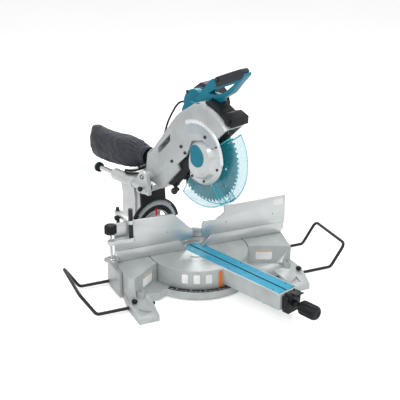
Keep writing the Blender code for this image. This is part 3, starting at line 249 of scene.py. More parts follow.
def fabric(name, rgb):
    """Coated nylon cloth: a fine plain weave along and across the bag, with soft sheen."""
    look = Look(name, 0.72)
    turned = look.stretched((1.0, 1.0, 1.0), -MITRE_REST)
    threads = []
    for direction, scale in (("Y", 240.0), ("X", 240.0), ("Z", 240.0)):
        wave = look.add("ShaderNodeTexWave", wave_type="BANDS", bands_direction=direction,
                        Scale=scale, Distortion=0.6, Detail=1.0)
        look.link(turned, wave.inputs["Vector"])
        threads.append(wave.outputs["Fac"])
    first = look.add("ShaderNodeMath", operation="ADD")
    look.link(threads[1], first.inputs[0])
    look.link(threads[2], first.inputs[1])
    weave = look.add("ShaderNodeMath", operation="MULTIPLY")
    look.link(threads[0], weave.inputs[0])
    look.link(first.outputs["Value"], weave.inputs[1])
    dark, light = shades(rgb, 0.3)
    look.colour(look.ramp(look.noise(34.0, 8.0), [(0.28, dark), (0.72, light)]))
    look.spread(look.noise(80.0, 5.0), 0.6, 0.82)
    look.bump((look.noise(70.0, 5.0), 0.0012, 0.35), (weave.outputs["Value"], 0.0002, 0.55))
    look.set(Sheen_Weight=0.12, Sheen_Roughness=0.4)
    return look.mat


RIGHT = TABLE.to_3x3() @ Vector((1, 0, 0))
BLADE_AT = TABLE @ Vector((0, BLADE_Y, BLADE_Z))
LOOKS = {
    "silver": (painted("silver_enamel", (0.46, 0.49, 0.49)), "silver_paint"),
    "pale": (painted("pale_casting", (0.6, 0.63, 0.63), 0.34, 0.45), "silver_paint"),
    "recess": (painted("blue_grey_recess", (0.4, 0.45, 0.48), 0.42, 0.25), "silver_paint"),
    "band": (painted("bright_band", (0.74, 0.77, 0.78), 0.28, 0.55), "silver_paint"),
    "bright": (machined("machined_faces", (0.66, 0.68, 0.68), 0.36), "machined_aluminium"),
    "bright_table": (turned_metal("turned_table", (0.64, 0.66, 0.66), TABLE @ Vector((0, 0, 0)),
                                  (0, 0, 1), 0.3, 900.0), "machined_aluminium"),
    "bright_arm": (machined("milled_arm", (0.66, 0.68, 0.68), 0.32, "Y", -MITRE_REST),
                   "machined_aluminium"),
    "teal": (plastic("teal_moulding", (0.0, 0.175, 0.255), 0.34, 1500.0, 0.14, 0.08, (0.02, 0.3, 0.4)),
             "teal_plastic"),
    "clear": (clear("turquoise_guard", (0.0, 0.44, 0.56), 0.17), "clear_guard"),
    "clear_rim": (clear("turquoise_rim", (0.1, 0.6, 0.7), 0.55, 0.12), "clear_guard"),
    "board": (plastic("kerf_board_blue", (0.03, 0.33, 0.5), 0.4, 900.0, 0.12, 0.05, (0.1, 0.45, 0.6)),
              "kerf_board_blue"),
    "black": (plastic("black_moulding", (0.009, 0.01, 0.012), 0.44), "black_plastic"),
    "black_gloss": (plastic("black_gloss", (0.01, 0.01, 0.012), 0.2, 700.0, 0.05, 0.5), "black_plastic"),
    "black_steel": (plastic("black_oxide", (0.018, 0.018, 0.02), 0.32, 2200.0, 0.1, 0.2,
                            (0.22, 0.22, 0.23)), "black_steel"),
    "grip": (plastic("dark_grip", (0.038, 0.042, 0.05), 0.55, 1100.0, 0.35), "dark_grip"),
    "cap": (plastic("motor_cap_grey", (0.022, 0.026, 0.032), 0.48, 1300.0, 0.3), "dark_grip"),
    "steel": (machined("ground_steel", (0.6, 0.61, 0.63), 0.26, "X", 0.0), "steel"),
    "blade": (turned_metal("blade_steel", (0.3, 0.32, 0.34), BLADE_AT, RIGHT, 0.3), "steel"),
    "carbide": (plastic("carbide_tip", (0.16, 0.17, 0.18), 0.3, 3000.0, 0.15), "steel"),
    "bolt": (plastic("bolt_black", (0.02, 0.021, 0.023), 0.3, 2500.0, 0.1, 0.2, (0.3, 0.3, 0.31)),
             "black_steel"),
    "zinc": (machined("zinc_plate", (0.66, 0.66, 0.64), 0.3, "X", 0.4), "steel"),
    "chrome": (machined("chrome_rail", (0.84, 0.85, 0.87), 0.12, "Y", -MITRE_REST), "chrome"),
    "copper": (plastic("orange_pointer", (0.72, 0.17, 0.03), 0.38, 900.0, 0.1, 0.2), "orange_pointer"),
    "red": (plastic("red_lever", (0.62, 0.025, 0.018), 0.34, 900.0, 0.1, 0.2), "red_plastic"),
    "fabric": (fabric("bag_cloth", (0.03, 0.032, 0.045)), "bag_fabric"),
    "rubber": (plastic("cord_rubber", (0.012, 0.012, 0.013), 0.58, 900.0, 0.25), "cord_rubber"),
    "mark": (plastic("scale_white", (0.8, 0.81, 0.8), 0.5, 1500.0, 0.08), "silver_paint"),
    "amber": (plastic("blank_amber_plate", (0.6, 0.36, 0.2), 0.4, 1500.0, 0.05, 0.3), "silver_paint"),
}


# ---------------------------------------------------------------- mesh helpers
def to_mesh(bm):
    bmesh.ops.remove_doubles(bm, verts=bm.verts, dist=1e-6)
    bmesh.ops.recalc_face_normals(bm, faces=bm.faces)
    mesh = bpy.data.meshes.new("shape")
    bm.to_mesh(mesh)
    bm.free()
    return mesh


def axis_point(axis, along, a, b):
    return {"X": (along, a, b), "Y": (a, along, b), "Z": (a, b, along)}[axis]


def skin(rings, capped=True, closed=False):
    """A surface over rings with the same number of points."""
    bm = bmesh.new()
    rows = [[bm.verts.new(p) for p in ring] for ring in rings]
    pairs = list(zip(rows, rows[1:])) + ([(rows[-1], rows[0])] if closed else [])
    for one, two in pairs:
        for k in range(len(one)):
            n = (k + 1) % len(one)
            bm.faces.new((one[k], one[n], two[n], two[k]))
    if capped and not closed:
        bm.faces.new(rows[0])
        bm.faces.new(list(reversed(rows[-1])))
    return to_mesh(bm)


def prism(outline, low, high, axis="Z", edge=0.0):
    """An outline extruded along an axis, its end faces drawn in by edge."""
    mid = [sum(p[i] for p in outline) / len(outline) for i in (0, 1)]
    sign = 1 if high > low else -1
    levels = [(low, 0.0), (high, 0.0)]
    if edge:
        levels = [(low, edge), (low + sign * edge, 0.0), (high - sign * edge, 0.0), (high, edge)]
    rings = []
    for along, shrink in levels:
        ring = []
        for a, b in outline:
            away = math.hypot(mid[0] - a, mid[1] - b) or 1.0
            ring.append(axis_point(axis, along, a + (mid[0] - a) / away * shrink,
                                   b + (mid[1] - b) / away * shrink))
        rings.append(ring)
    return skin(rings)


def box(low, high):
    corners = [(low[0], low[1]), (high[0], low[1]), (high[0], high[1]), (low[0], high[1])]
    return prism(corners, low[2], high[2])


def arc(centre, radius, start, end, steps):
    angles = [radians(start + (end - start) * i / steps) for i in range(steps + 1)]
    return [(centre[0] + radius * cos(t), centre[1] + radius * sin(t)) for t in angles]


def rounded(points, radius, steps=4):
    out = []
    for i, here in enumerate(points):
        here = Vector(here)
        before, after = Vector(points[i - 1]), Vector(points[(i + 1) % len(points)])
        reach = min(radius, (before - here).length * 0.45, (after - here).length * 0.45)
        a = here + (before - here).normalized() * reach
        b = here + (after - here).normalized() * reach
        for k in range(steps + 1):
            t = k / steps
            out.append(tuple((1 - t) ** 2 * a + 2 * t * (1 - t) * here + t * t * b))
    return out


def lathe(profile, axis, centre=(0, 0, 0), steps=48, start=0.0, end=360.0, lobes=0, depth=0.0, over=1.0):
    """A closed profile of (radius, along) turned about an axis; lobes flute all radii above over."""
    full = abs(end - start) >= 360.0
    i = "XYZ".index(axis)
    others = [k for k in (0, 1, 2) if k != i]
    rings = []
    for s in range(steps if full else steps + 1):
        t = radians(start + (end - start) * s / steps)
        ring = []
        for r, along in profile:
            if lobes and r > over:
                r -= depth * (0.5 - 0.5 * cos(lobes * t)) ** 2
            ring.append(axis_point(axis, along + centre[i], centre[others[0]] + r * cos(t),
                                   centre[others[1]] + r * sin(t)))
        rings.append(ring)
    return skin(rings, not full, full)


def offset(start, profile):
    """A profile of (radius, distance) with its distances counted from a start."""
    return [(radius, start + distance) for radius, distance in profile]


def rod(axis, centre, radius, low, high, steps=24, edge=0.0006):
    at = [0.0 if axis == "XYZ"[k] else centre[k] for k in range(3)]
    e = min(edge, radius * 0.4, abs(high - low) * 0.3)
    return lathe([(HUB, low), (radius - e, low), (radius, low + e), (radius, high - e), (radius - e, high),
                  (HUB, high)], axis, at, steps)


def socket_head(axis, centre, radius, low, high):
    """A cap screw: low is its seat, high its head, which has a hexagon socket."""
    sign = 1 if high > low else -1
    at = [0.0 if axis == "XYZ"[k] else centre[k] for k in range(3)]
    levels = [(radius, low, 0), (radius, high - sign * radius * 0.18, 0), (radius * 0.86, high, 0),
              (radius * 0.56, high, 1), (radius * 0.52, low + (high - low) * 0.35, 1)]
    others = [k for k in (0, 1, 2) if k != "XYZ".index(axis)]
    rings = []
    for r, along, hexed in levels:
        ring = []
        for s in range(24):
            t = 2 * pi * s / 24
            size = r * (cos(pi / 6) / cos((t % (pi / 3)) - pi / 6) if hexed else 1.0)
            ring.append(axis_point(axis, along, at[others[0]] + size * cos(t),
                                   at[others[1]] + size * sin(t)))
        rings.append(ring)
    return skin(rings)


def combined(mesh, others, operation):
    target = bpy.data.objects.new("target", mesh)
    bpy.context.collection.objects.link(target)
    for other in others:
        tool = bpy.data.objects.new("tool", other)
        bpy.context.collection.objects.link(tool)
        step = target.modifiers.new("step", "BOOLEAN")
        step.operation = operation
        step.object = tool
        graph = bpy.context.evaluated_depsgraph_get()
        result = bpy.data.meshes.new_from_object(target.evaluated_get(graph))
        target.modifiers.clear()
        target.data = result
        bpy.data.objects.remove(tool, do_unlink=True)
    result = target.data
    bpy.data.objects.remove(target, do_unlink=True)
    return result


def together(*meshes):
    """Separate closed shapes kept in one mesh."""
    bm = bmesh.new()
    for mesh in meshes:
        bm.from_mesh(mesh)
    mesh = bpy.data.meshes.new("shape")
    bm.to_mesh(mesh)
    bm.free()
    return mesh


def put(name, mesh, body, look, place=TABLE, stands_for=(), smooth=40):
    """Finish a mesh as a named piece, modelled in the coordinates that place turns into the frame's."""
    mesh.transform(place)
    mat, slot = LOOKS[look]
    if not mesh.materials:
        mesh.materials.append(mat)
    mesh.shade_smooth()
    mesh.set_sharp_from_angle(angle=radians(smooth))
    obj = bpy.data.objects.new(name, mesh)
    bpy.context.collection.objects.link(obj)
    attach(obj, body)
    if stands_for:
        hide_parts(*stands_for)
    return obj


def cad_copy(node):
    """A CAD node's mesh, welded and with its flat faces merged."""
    bm = bmesh.new()
    bm.from_mesh(frame["nodes"][node].data)
    bmesh.ops.remove_doubles(bm, verts=bm.verts, dist=1e-6)
    bmesh.ops.dissolve_limit(bm, angle_limit=radians(0.6), verts=bm.verts, edges=bm.edges)
    return bm


def eased(bm, width, segments=2, angle=28):
    """Round every sharp edge that is long enough to take it."""
    edges = []
    for edge in bm.edges:
        if len(edge.link_faces) != 2 or edge.calc_face_angle() < radians(angle):
            continue
        near = min(e.calc_length() for v in edge.verts for e in v.link_edges)
        if near > width * 2.2:
            edges.append(edge)
    bmesh.ops.bevel(bm, geom=edges, offset=width, segments=segments, affect="EDGES", profile=0.5,
                    clamp_overlap=True, harden_normals=False)
    return bm


def refined(node, look, width=0.001, segments=2, faces=None, cuts=(), smooth=40):
    """A CAD node's shape with its edges rounded, as a piece that stands for it.

    faces is a list of (look, test) for the faces that get another finish; cuts are shapes to take away.
    """
    bm = cad_copy(node)
    if cuts:
        mesh = bpy.data.meshes.new("shape")
        bm.to_mesh(mesh)
        bm.free()
        mesh = combined(mesh, cuts, "DIFFERENCE")
        bm = bmesh.new()
        bm.from_mesh(mesh)
        bmesh.ops.remove_doubles(bm, verts=bm.verts, dist=1e-6)
        bmesh.ops.dissolve_limit(bm, angle_limit=radians(0.6), verts=bm.verts, edges=bm.edges)
    low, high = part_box(node)
    eased(bm, width, segments)
    for vert in bm.verts:
        for k in range(3):
            vert.co[k] = min(max(vert.co[k], low[k]), high[k])
    bm.faces.ensure_lookup_table()
    bm.normal_update()
    for face in bm.faces:
        face.material_index = 0
        for index, (_, test) in enumerate(faces or (), 1):
            if test(face.calc_center_median(), face.normal):
                face.material_index = index
    mesh = bpy.data.meshes.new(node)
    bm.to_mesh(mesh)
    bm.free()
    mesh.materials.clear()
    mesh.materials.append(LOOKS[look][0])
    for other, _ in faces or ():
        mesh.materials.append(LOOKS[other][0])
    return put(node + "_fine", mesh, BODY_OF[node], look, Matrix.Identity(4), [node], smooth)


def on_table(point):
    """A point of the frame, in the turntable's own coordinates."""
    return TABLE.inverted() @ point


# ---------------------------------------------------------------- mains lead
LEAD_U, LEAD_Y, LEAD_Z = 0.09, 0.16, 0.56
LEAD_ROUTE = [(0.0895, 0.175, 0.5571), (0.086, 0.19, 0.5475), (0.078, 0.204, 0.524), (0.064, 0.222, 0.474),
              (0.05, 0.234, 0.4), (0.042, 0.237, 0.348), (0.018, 0.243, 0.322), (-0.018, 0.2465, 0.3142),
              (-0.05, 0.2587, 0.3095), (-0.0675, 0.288, 0.3075), (-0.05, 0.3172, 0.3068),
              (-0.018, 0.324, 0.294), (0.018, 0.319, 0.2925), (0.044, 0.308, 0.3025), (0.068, 0.303, 0.308),
              (0.091, 0.304, 0.295), (0.104, 0.313, 0.255), (0.107, 0.332, 0.18), (0.107, 0.345, 0.1),
              (0.107, 0.351, 0.05), (0.107, 0.364, 0.0165), (0.107, 0.395, CORD_R + 0.0002)]
COIL_OUT = 0.052
COIL = (0.107 + COIL_OUT + CORD_R + 0.0003, 0.395)
ON_BENCH = CORD_R + 0.0002
LEAD_LAYER = 2 * CORD_R + 0.0001


def flow(points, count):
    """Evenly spread points on a smooth curve through a route's own points."""
    places = [Vector(p) for p in points]
    padded = [2 * places[0] - places[1], *places, 2 * places[-1] - places[-2]]
    fine = []
    for i in range(1, len(padded) - 2):
        p0, p1, p2, p3 = padded[i - 1:i + 3]
        for k in range(24):
            t = k / 24
            fine.append(0.5 * (2 * p1 + (p2 - p0) * t + (2 * p0 - 5 * p1 + 4 * p2 - p3) * t * t
                               + (3 * p1 - p0 - 3 * p2 + p3) * t ** 3))
    fine.append(places[-1])
    lengths = [0.0]
    for a, b in zip(fine, fine[1:]):
        lengths.append(lengths[-1] + (b - a).length)
    out = []
    j = 0
    for i in range(count):
        want = lengths[-1] * i / (count - 1)
        while j < len(fine) - 2 and lengths[j + 1] < want:
            j += 1
        out.append(fine[j].lerp(fine[j + 1], (want - lengths[j]) / (lengths[j + 1] - lengths[j])))
    return out


def coil_points():
    """Clockwise from the coil's near side: in over the bench, up, and out over the lower turns."""
    outer = COIL_OUT - CORD_R - 0.0001
    pitch = LEAD_LAYER
    inner = outer - 2.325 * pitch
    knots = [(0.0, COIL_OUT + CORD_R + 0.0003, 0.0), (0.6, outer, 0.0), (2.925, inner, 0.0),
             (3.425, inner, pitch), (5.75, outer, pitch)]
    points = []
    per_turn = 28
    for i in range(1, int(5.75 * per_turn) + 1):
        turn = i / per_turn
        for (t0, r0, z0), (t1, r1, z1) in zip(knots, knots[1:]):
            if turn <= t1 + 1e-9:
                f = (turn - t0) / (t1 - t0)
                f = f * f * (3 - 2 * f) if z0 != z1 or t0 == 0.0 else f
                radius, lift = r0 + (r1 - r0) * f, z0 + (z1 - z0) * f
                break
        angle = pi - 2 * pi * turn
        points.append(Vector((COIL[0] + radius * cos(angle), COIL[1] + radius * sin(angle),
                              ON_BENCH + lift)))
    return points


def mains_lead():
    turn = Matrix.Rotation(MITRE_REST, 4, "Z")
    route = [Vector(p) for p in [(LEAD_U, LEAD_Y + 0.0003, LEAD_Z)] + LEAD_ROUTE]
    path = [Vector((p.x, p.y, max(p.z, ON_BENCH))) for p in flow(route, 150)]
    path += coil_points()
    x, y = COIL[0], COIL[1] - COIL_OUT + CORD_R + 0.0001
    for dx, z in ((0.01, 0.0108), (0.02, 0.0108), (0.03, 0.0106), (0.038, 0.01), (0.046, 0.0089),
                  (0.054, 0.0075), (0.062, 0.0065), (0.07, 0.0062), (0.078, 0.0062)):
        path.append(Vector((x - dx, y, z)))
    path = [turn @ p + BOX_SHIFT for p in path]
    curve = bpy.data.curves.new("mains_lead", "CURVE")
    curve.dimensions = "3D"
    curve.bevel_depth = CORD_R
    curve.bevel_resolution = 5
    curve.use_fill_caps = True
    line = curve.splines.new("POLY")
    line.points.add(len(path) - 1)
    for point, place in zip(line.points, path):
        point.co = (*place, 1.0)
    line.use_smooth = True
    curve.materials.append(LOOKS["rubber"][0])
    lead = bpy.data.objects.new("mains_lead", curve)
    bpy.context.collection.objects.link(lead)
    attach(lead, "base")
    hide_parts("power_cord", "cord_coil")
    sleeve = lathe([(CORD_R + 0.0001, x - 0.0705), (0.006, x - 0.0705), (0.005, x - 0.067),
                    (0.0054, x - 0.064), (0.0046, x - 0.061), (0.005, x - 0.058), (0.0045, x - 0.054),
                    (CORD_R + 0.0001, x - 0.054)], "X", (0, y, 0.0064), 24)
    outline = rounded([(y - 0.0185, 0.0004), (y + 0.0185, 0.0004), (y + 0.0165, 0.0128),
                       (y - 0.0165, 0.0128)], 0.005, 4)
    rows = [(0.0702, 0.42), (0.0725, 0.62), (0.08, 0.78), (0.088, 0.92), (0.1, 1.0), (0.1085, 1.0),
            (0.1098, 0.95)]
    mid_z = 0.0066
    body = skin([[(x - dx, y + (a - y) * k, mid_z + (b - mid_z) * min(1.0, k * 1.15)) for a, b in outline]
                 for dx, k in rows])
    pins = [rod("X", (0, y + k * 0.0095, 0.0066), 0.0024, x - 0.1285, x - 0.109, 20, 0.001)
            for k in (-1, 1)]
    plug = put("plug_body", together(body, sleeve), "base", "rubber", BASE @ turn, ["plug"])
    prongs = put("plug_pins", together(*pins), "base", "chrome", BASE @ turn)


mains_lead()


# ---------------------------------------------------------------- base and fences
def top_face(height):
    return lambda c, n: n.z > 0.9 and c.z > height


def label(name, body, look, centre, size, axis, place=TABLE, thick=0.0004):
    """A blank plate with round corners; axis is the way it faces, with its sign."""
    a, b = size[0] / 2, size[1] / 2
    outline = rounded([(-a, -b), (a, -b), (a, b), (-a, b)], min(a, b) * 0.4, 4)
    i = "XYZ".index(axis[1])
    others = [k for k in (0, 1, 2) if k != i]
    sign = 1 if axis[0] == "+" else -1
    shifted = [(p + centre[others[0]], q + centre[others[1]]) for p, q in outline]
    return put(name, prism(shifted, centre[i], centre[i] + sign * thick, axis[1], 0.00015), body, look,
               place)


def base():
    refined("base_casting", "silver", 0.0016, 3, [("bright", top_face(0.0955))])
    for name, x, y in (("left", -0.249, -0.122), ("right", 0.281, -0.115)):
        washer = lathe([(0.0052, 0.0461), (0.0118, 0.0461), (0.012, 0.0472), (0.0052, 0.0472)], "Z",
                       (x, y, 0), 40)
        put("hold_down_washer_" + name, washer, "base", "zinc", BASE)
    ring_low, ring_high = 0.0303, 0.0317
    scale = lathe([(TABLE_R + 0.0026, ring_low), (0.1888, ring_low), (0.1888, ring_high),
                   (TABLE_R + 0.0026, ring_high)], "Z", (0, 0, 0), 108, 216, 324)
    put("mitre_scale_fine", scale, "base", "black", BASE, ["mitre_scale"])
    ticks = []
    for degree in range(-52, 53):
        deep = 0.008 if degree % 5 == 0 else 0.0045
        half = 0.00045 if degree % 5 == 0 else 0.00028
        tick = box((-half, -0.1872, ring_high - 0.0001), (half, -0.1872 + deep, ring_high + 0.00012))
        tick.transform(Matrix.Rotation(radians(degree), 4, "Z"))
        ticks.append(tick)
    put("mitre_scale_ticks", together(*ticks), "base", "mark", BASE)
    digits = []
    for degree in (-45, -30, -15, 0, 15, 30, 45):
        curve = bpy.data.curves.new("digits", "FONT")
        curve.body = str(abs(degree))
        curve.size = 0.0062
        curve.align_x = "CENTER"
        curve.extrude = 0.0001
        text = bpy.data.objects.new("digits", curve)
        bpy.context.collection.objects.link(text)
        graph = bpy.context.evaluated_depsgraph_get()
        mesh = bpy.data.meshes.new_from_object(text.evaluated_get(graph))
        bpy.data.objects.remove(text, do_unlink=True)
        mesh.materials.clear()
        mesh.transform(Matrix.Rotation(radians(degree), 4, "Z") @ Matrix.Translation((0, -0.1782,
                ring_high + 0.0001)))
        digits.append(mesh)
    put("mitre_scale_numbers", together(*digits), "base", "mark", BASE)
    for name, x, y, angle in (("left", -0.211, -0.0792, 39.5), ("right", 0.2168, -0.0684, -23.7)):
        wall = BASE @ Matrix.Translation((x, y, 0.0)) @ Matrix.Rotation(radians(angle), 4, "Z")
        label("wing_plate_" + name, "base", "mark", (0.0, -0.0002, 0.062), (0.056, 0.036), "-Y", wall)
        label("wing_strip_" + name, "base", "amber", (0.0, -0.0006, 0.0765), (0.052, 0.005), "-Y", wall,
              0.0002)


def screw_row(name, body, look, centres, radius, height, axis, place=TABLE):
    """Cap screws in one piece: centres are their seats, height is signed along the axis."""
    i = "XYZ".index(axis)
    heads = [socket_head(axis, c, radius, c[i], c[i] + height) for c in centres]
    return put(name, together(*heads), body, look, place)


def fences():
    refined("fixed_fence", "bright", 0.001, 2)
    for name, side in (("left", -1), ("right", 1)):
        node = "sliding_fence_" + name
        refined(node, "bright", 0.0009, 2)
        body = BODY_OF[node]
        seats = [(side * 0.108, 0.1743), (side * 0.285, 0.1743)]
        screws = [lathe([(HUB, 0.0), (0.0021, 0.0), (0.0021, -0.0009), (0.0014, -0.0012), (HUB, -0.0006)],
                        "Y", (x, 0.0068, z), 20) for x, z in seats]
        put(node + "_screws", together(*screws), body, "bolt", BASE)
        label(node + "_plate", body, "mark", (side * 0.305, 0.006, 0.216), (0.036, 0.022), "-Y", BASE)
        knob = "fence_knob_" + name
        x, y, z = side * 0.2, 0.0343, 0.128
        profile = offset(y, [(HUB, 0.0), (0.006, 0.0), (0.006, 0.009), (0.0125, 0.0105), (0.0138, 0.013),
                             (0.0138, 0.025), (0.0122, 0.0282), (0.009, 0.0288), (HUB, 0.0278)])
        put(knob + "_fine", lathe(profile, "Y", (x, 0, z), 96, lobes=8, depth=0.0022, over=0.011),
            BODY_OF[knob], "black", BASE, [knob])


def bent(corners, radius, steps=10):
    path = [Vector(corners[0])]
    for before, here, after in zip(corners, corners[1:], corners[2:]):
        here = Vector(here)
        into = (here - Vector(before)).normalized()
        out = (Vector(after) - here).normalized()
        reach = radius * math.tan(into.angle(out) / 2)
        a, b = here - into * reach, here + out * reach
        for k in range(steps + 1):
            t = k / steps
            path.append((1 - t) ** 2 * a + 2 * t * (1 - t) * here + t * t * b)
    path.append(Vector(corners[-1]))
    return path


def bar_along(path, radius, sides=20):
    """A round bar along a path, with parallel-carried rings."""
    rings = []
    normal = Vector((0, 0, 1))
    for i, here in enumerate(path):
        ahead = (path[min(i + 1, len(path) - 1)] - path[max(i - 1, 0)]).normalized()
        normal = (normal - ahead * normal.dot(ahead))
        if normal.length < 1e-3:
            normal = Vector((0, 1, 0)) - ahead * ahead.y
        normal.normalize()
        other = ahead.cross(normal)
        rings.append([here + (normal * cos(2 * pi * s / sides) + other * sin(2 * pi * s / sides)) * radius
                      for s in range(sides)])
    return skin(rings)


def holders():
    for name, side, reach, lean in (("left", -1, 0.405, 0.05), ("right", 1, 0.434, 0.052)):
        node = "holder_" + name
        rear, front, z, top = 0.046, -0.152, 0.0125, TABLE_TOP - 0.0055
        corners = [(side * 0.213, rear, z), (side * reach, rear, z), (side * (reach + lean), rear, top),
                   (side * (reach + lean), front, top), (side * reach, front, z), (side * 0.213, front, z)]
        put(node + "_fine", bar_along(bent(corners, 0.02), 0.0054),
            node.replace("holder_", "holder_slide_"), "black_steel", BASE, [node], 60)
        knob = "holder_knob_" + name
        x = {"left": -0.28, "right": 0.308}[name]
        z = 0.0268
        profile = offset(z, [(HUB, -0.008), (0.0028, -0.008), (0.0028, 0.0002), (0.0082, 0.0009),
                             (0.0094, 0.0025), (0.0094, 0.0078), (0.0084, 0.0092), (0.0064, 0.01),
                             (0.0055, 0.0112), (HUB, 0.0114)])
        put(knob + "_fine", lathe(profile, "Z", (x, -0.152, 0), 108, lobes=18, depth=0.0009, over=0.008),
            BODY_OF[knob], "black", BASE, [knob])


def threaded(axis, centre, radius, low, high, pitch):
    """A screw: rings whose radius follows a helix."""
    steps = max(8, int((high - low) / pitch * 6))
    sides = 20
    i = "XYZ".index(axis)
    others = [k for k in (0, 1, 2) if k != i]
    rings = []
    for s in range(steps + 1):
        along = low + (high - low) * s / steps
        ring = []
        for k in range(sides):
            t = 2 * pi * k / sides
            wave = abs(((along - low) / pitch - t / (2 * pi)) % 1.0 - 0.5) * 2
            r = radius - 0.1 * radius * wave
            ring.append(axis_point(axis, along, centre[others[0]] + r * cos(t),
                                   centre[others[1]] + r * sin(t)))
        rings.append(ring)
    return skin(rings)


def vise():
    refined("vise_rod", "black_steel", 0.0004)
    for node, look in (("vise_link", "pale"), ("vise_arm", "pale")):
        refined(node, look, 0.0006, 2)
    refined("vise_post", "black_steel", 0.0004)
    z, x, y = 0.244, -0.2692, 0.03
    knob = offset(x, [(HUB, -0.01), (0.0068, -0.01), (0.0084, -0.0082), (0.0084, 0.0035), (0.007, 0.0045),
                      (0.004, 0.005), (0.004, 0.0084), (HUB, 0.0084)])
    put("vise_clamp_knob_fine", lathe(knob, "X", (0, y, z), 84, lobes=7, depth=0.0016, over=0.0066),
        "vise_clamp", "black", BASE, ["vise_clamp_knob"])
    at = (-0.3085, -0.016, 0)
    plate_z = 0.124
    put("vise_screw_fine", threaded("Z", at, 0.00398, plate_z + 0.0034, 0.2119, 0.0026), "vise_press",
        "steel", BASE, ["vise_screw"], 30)
    plate = offset(plate_z, [(HUB, -0.003), (0.0235, -0.003), (0.0256, -0.0022), (0.0258, -0.0012),
                             (0.015, -0.0002), (0.0105, 0.0005), (0.009, 0.0028), (HUB, 0.0029)])
    put("vise_plate_fine", lathe(plate, "Z", at, 72), "vise_press", "zinc", BASE, ["vise_plate"])
    k = 0.2123
    knob = offset(k, [(HUB, 0.0), (0.0105, 0.0), (0.0125, 0.0015), (0.0195, 0.004), (0.0204, 0.006),
                      (0.0204, 0.026), (0.019, 0.03), (0.016, 0.0322), (0.01, 0.0328), (HUB, 0.0322)])
    put("vise_knob_fine", lathe(knob, "Z", at, 120, lobes=10, depth=0.003, over=0.0155), "vise_handle",
        "black", BASE, ["vise_knob"])


# ---------------------------------------------------------------- turntable
def table():
    grooves = []
    for inner, outer, start, end in ((0.063, 0.074, 205, 262), (0.063, 0.074, 278, 335),
            (0.063, 0.074, 20, 75), (0.063, 0.074, 105, 160)):
        grooves.append(lathe([(inner, TABLE_TOP - 0.0012), (outer, TABLE_TOP - 0.0012),
                              (outer, TABLE_TOP + 0.002), (inner, TABLE_TOP + 0.002)], "Z", (0, 0, 0), 30,
                             start, end))
    for start, end in ((194, 246), (294, 346)):
        grooves.append(lathe([(0.0945, TABLE_TOP - 0.0009), (0.0965, TABLE_TOP - 0.0009),
                              (0.0965, TABLE_TOP + 0.002), (0.0945, TABLE_TOP + 0.002)], "Z", (0, 0, 0), 36,
                             start, end))
    for cut in grooves:
        cut.transform(TABLE)
    on_arm = lambda c, n: n.z > 0.9 and c.z > 0.0955 and on_table(c).y < -0.165
    on_disc = lambda c, n: n.z > 0.9 and c.z > 0.0955 and on_table(c).y >= -0.165
    refined("turntable", "silver", 0.0013, 3, [("bright_arm", on_arm), ("bright_table", on_disc)], grooves)
    for name, side in (("left", -1), ("right", 1)):
        node = "kerf_board_" + name
        slot = box((-0.0031, -0.5, 0.08), (0.0031, 0.1, 0.11))
        slot.transform(TABLE)
        refined(node, "board", 0.0004, 2, cuts=[slot])
        heads = [socket_head("Z", (side * 0.0285, y, 0), 0.0036, TABLE_TOP - 0.0002, TABLE_TOP + 0.0003)
                 for y in (0.01, -0.176, -0.371)]
        put(node + "_screws", together(*heads), "table", "bolt")
    # A thin black sheet deep in the kerf channel: painted shade for the dark slot between the kerf boards.
    put("kerf_channel_painted_shade", box((-0.0115, ARM_END + 0.0125, 0.0662), (0.0115, 0.0455, 0.0668)), "table",
        "black")
    refined("turntable_pivot", "steel", 0.0004)
    refined("mitre_pointer", "copper", 0.0005)
    refined("bevel_pointer", "red", 0.0004)
    refined("arm_end_bracket", "black", 0.001)
    refined("lock_lever", "black", 0.0009)
    refined("release_lever", "red", 0.0011, 3)
    for k, angle in enumerate((-57.0, -44.0, -31.0)):
        wall = TABLE @ Matrix.Rotation(radians(angle), 4, "Z")
        label("blank_plate_%d" % (k + 1), "table", "mark", (0.0, -TABLE_R - 0.0006, 0.068), (0.021, 0.032),
              "-Y", wall, 0.0018)
    y = ARM_END - 0.0228
    profile = offset(y, [(HUB, 0.02), (0.0067, 0.02), (0.0067, 0.0002), (0.0105, -0.0008), (0.011, -0.003),
                         (0.011, -0.012), (0.0098, -0.0155), (0.0086, -0.018), (0.0086, -0.024),
                         (0.013, -0.028), (0.019, -0.0312), (0.0228, -0.036), (0.0238, -0.042),
                         (0.0238, -0.08), (0.0222, -0.0872), (0.0188, -0.0925), (0.013, -0.0944),
                         (0.0098, -0.0944), (0.0088, -0.0925), (HUB, -0.0915)])
    put("grip_knob_fine", lathe(profile, "Y", (0, 0, 0.064), 120, lobes=10, depth=0.0034, over=0.02),
        "mitre_grip", "black", TABLE, ["grip_knob"])


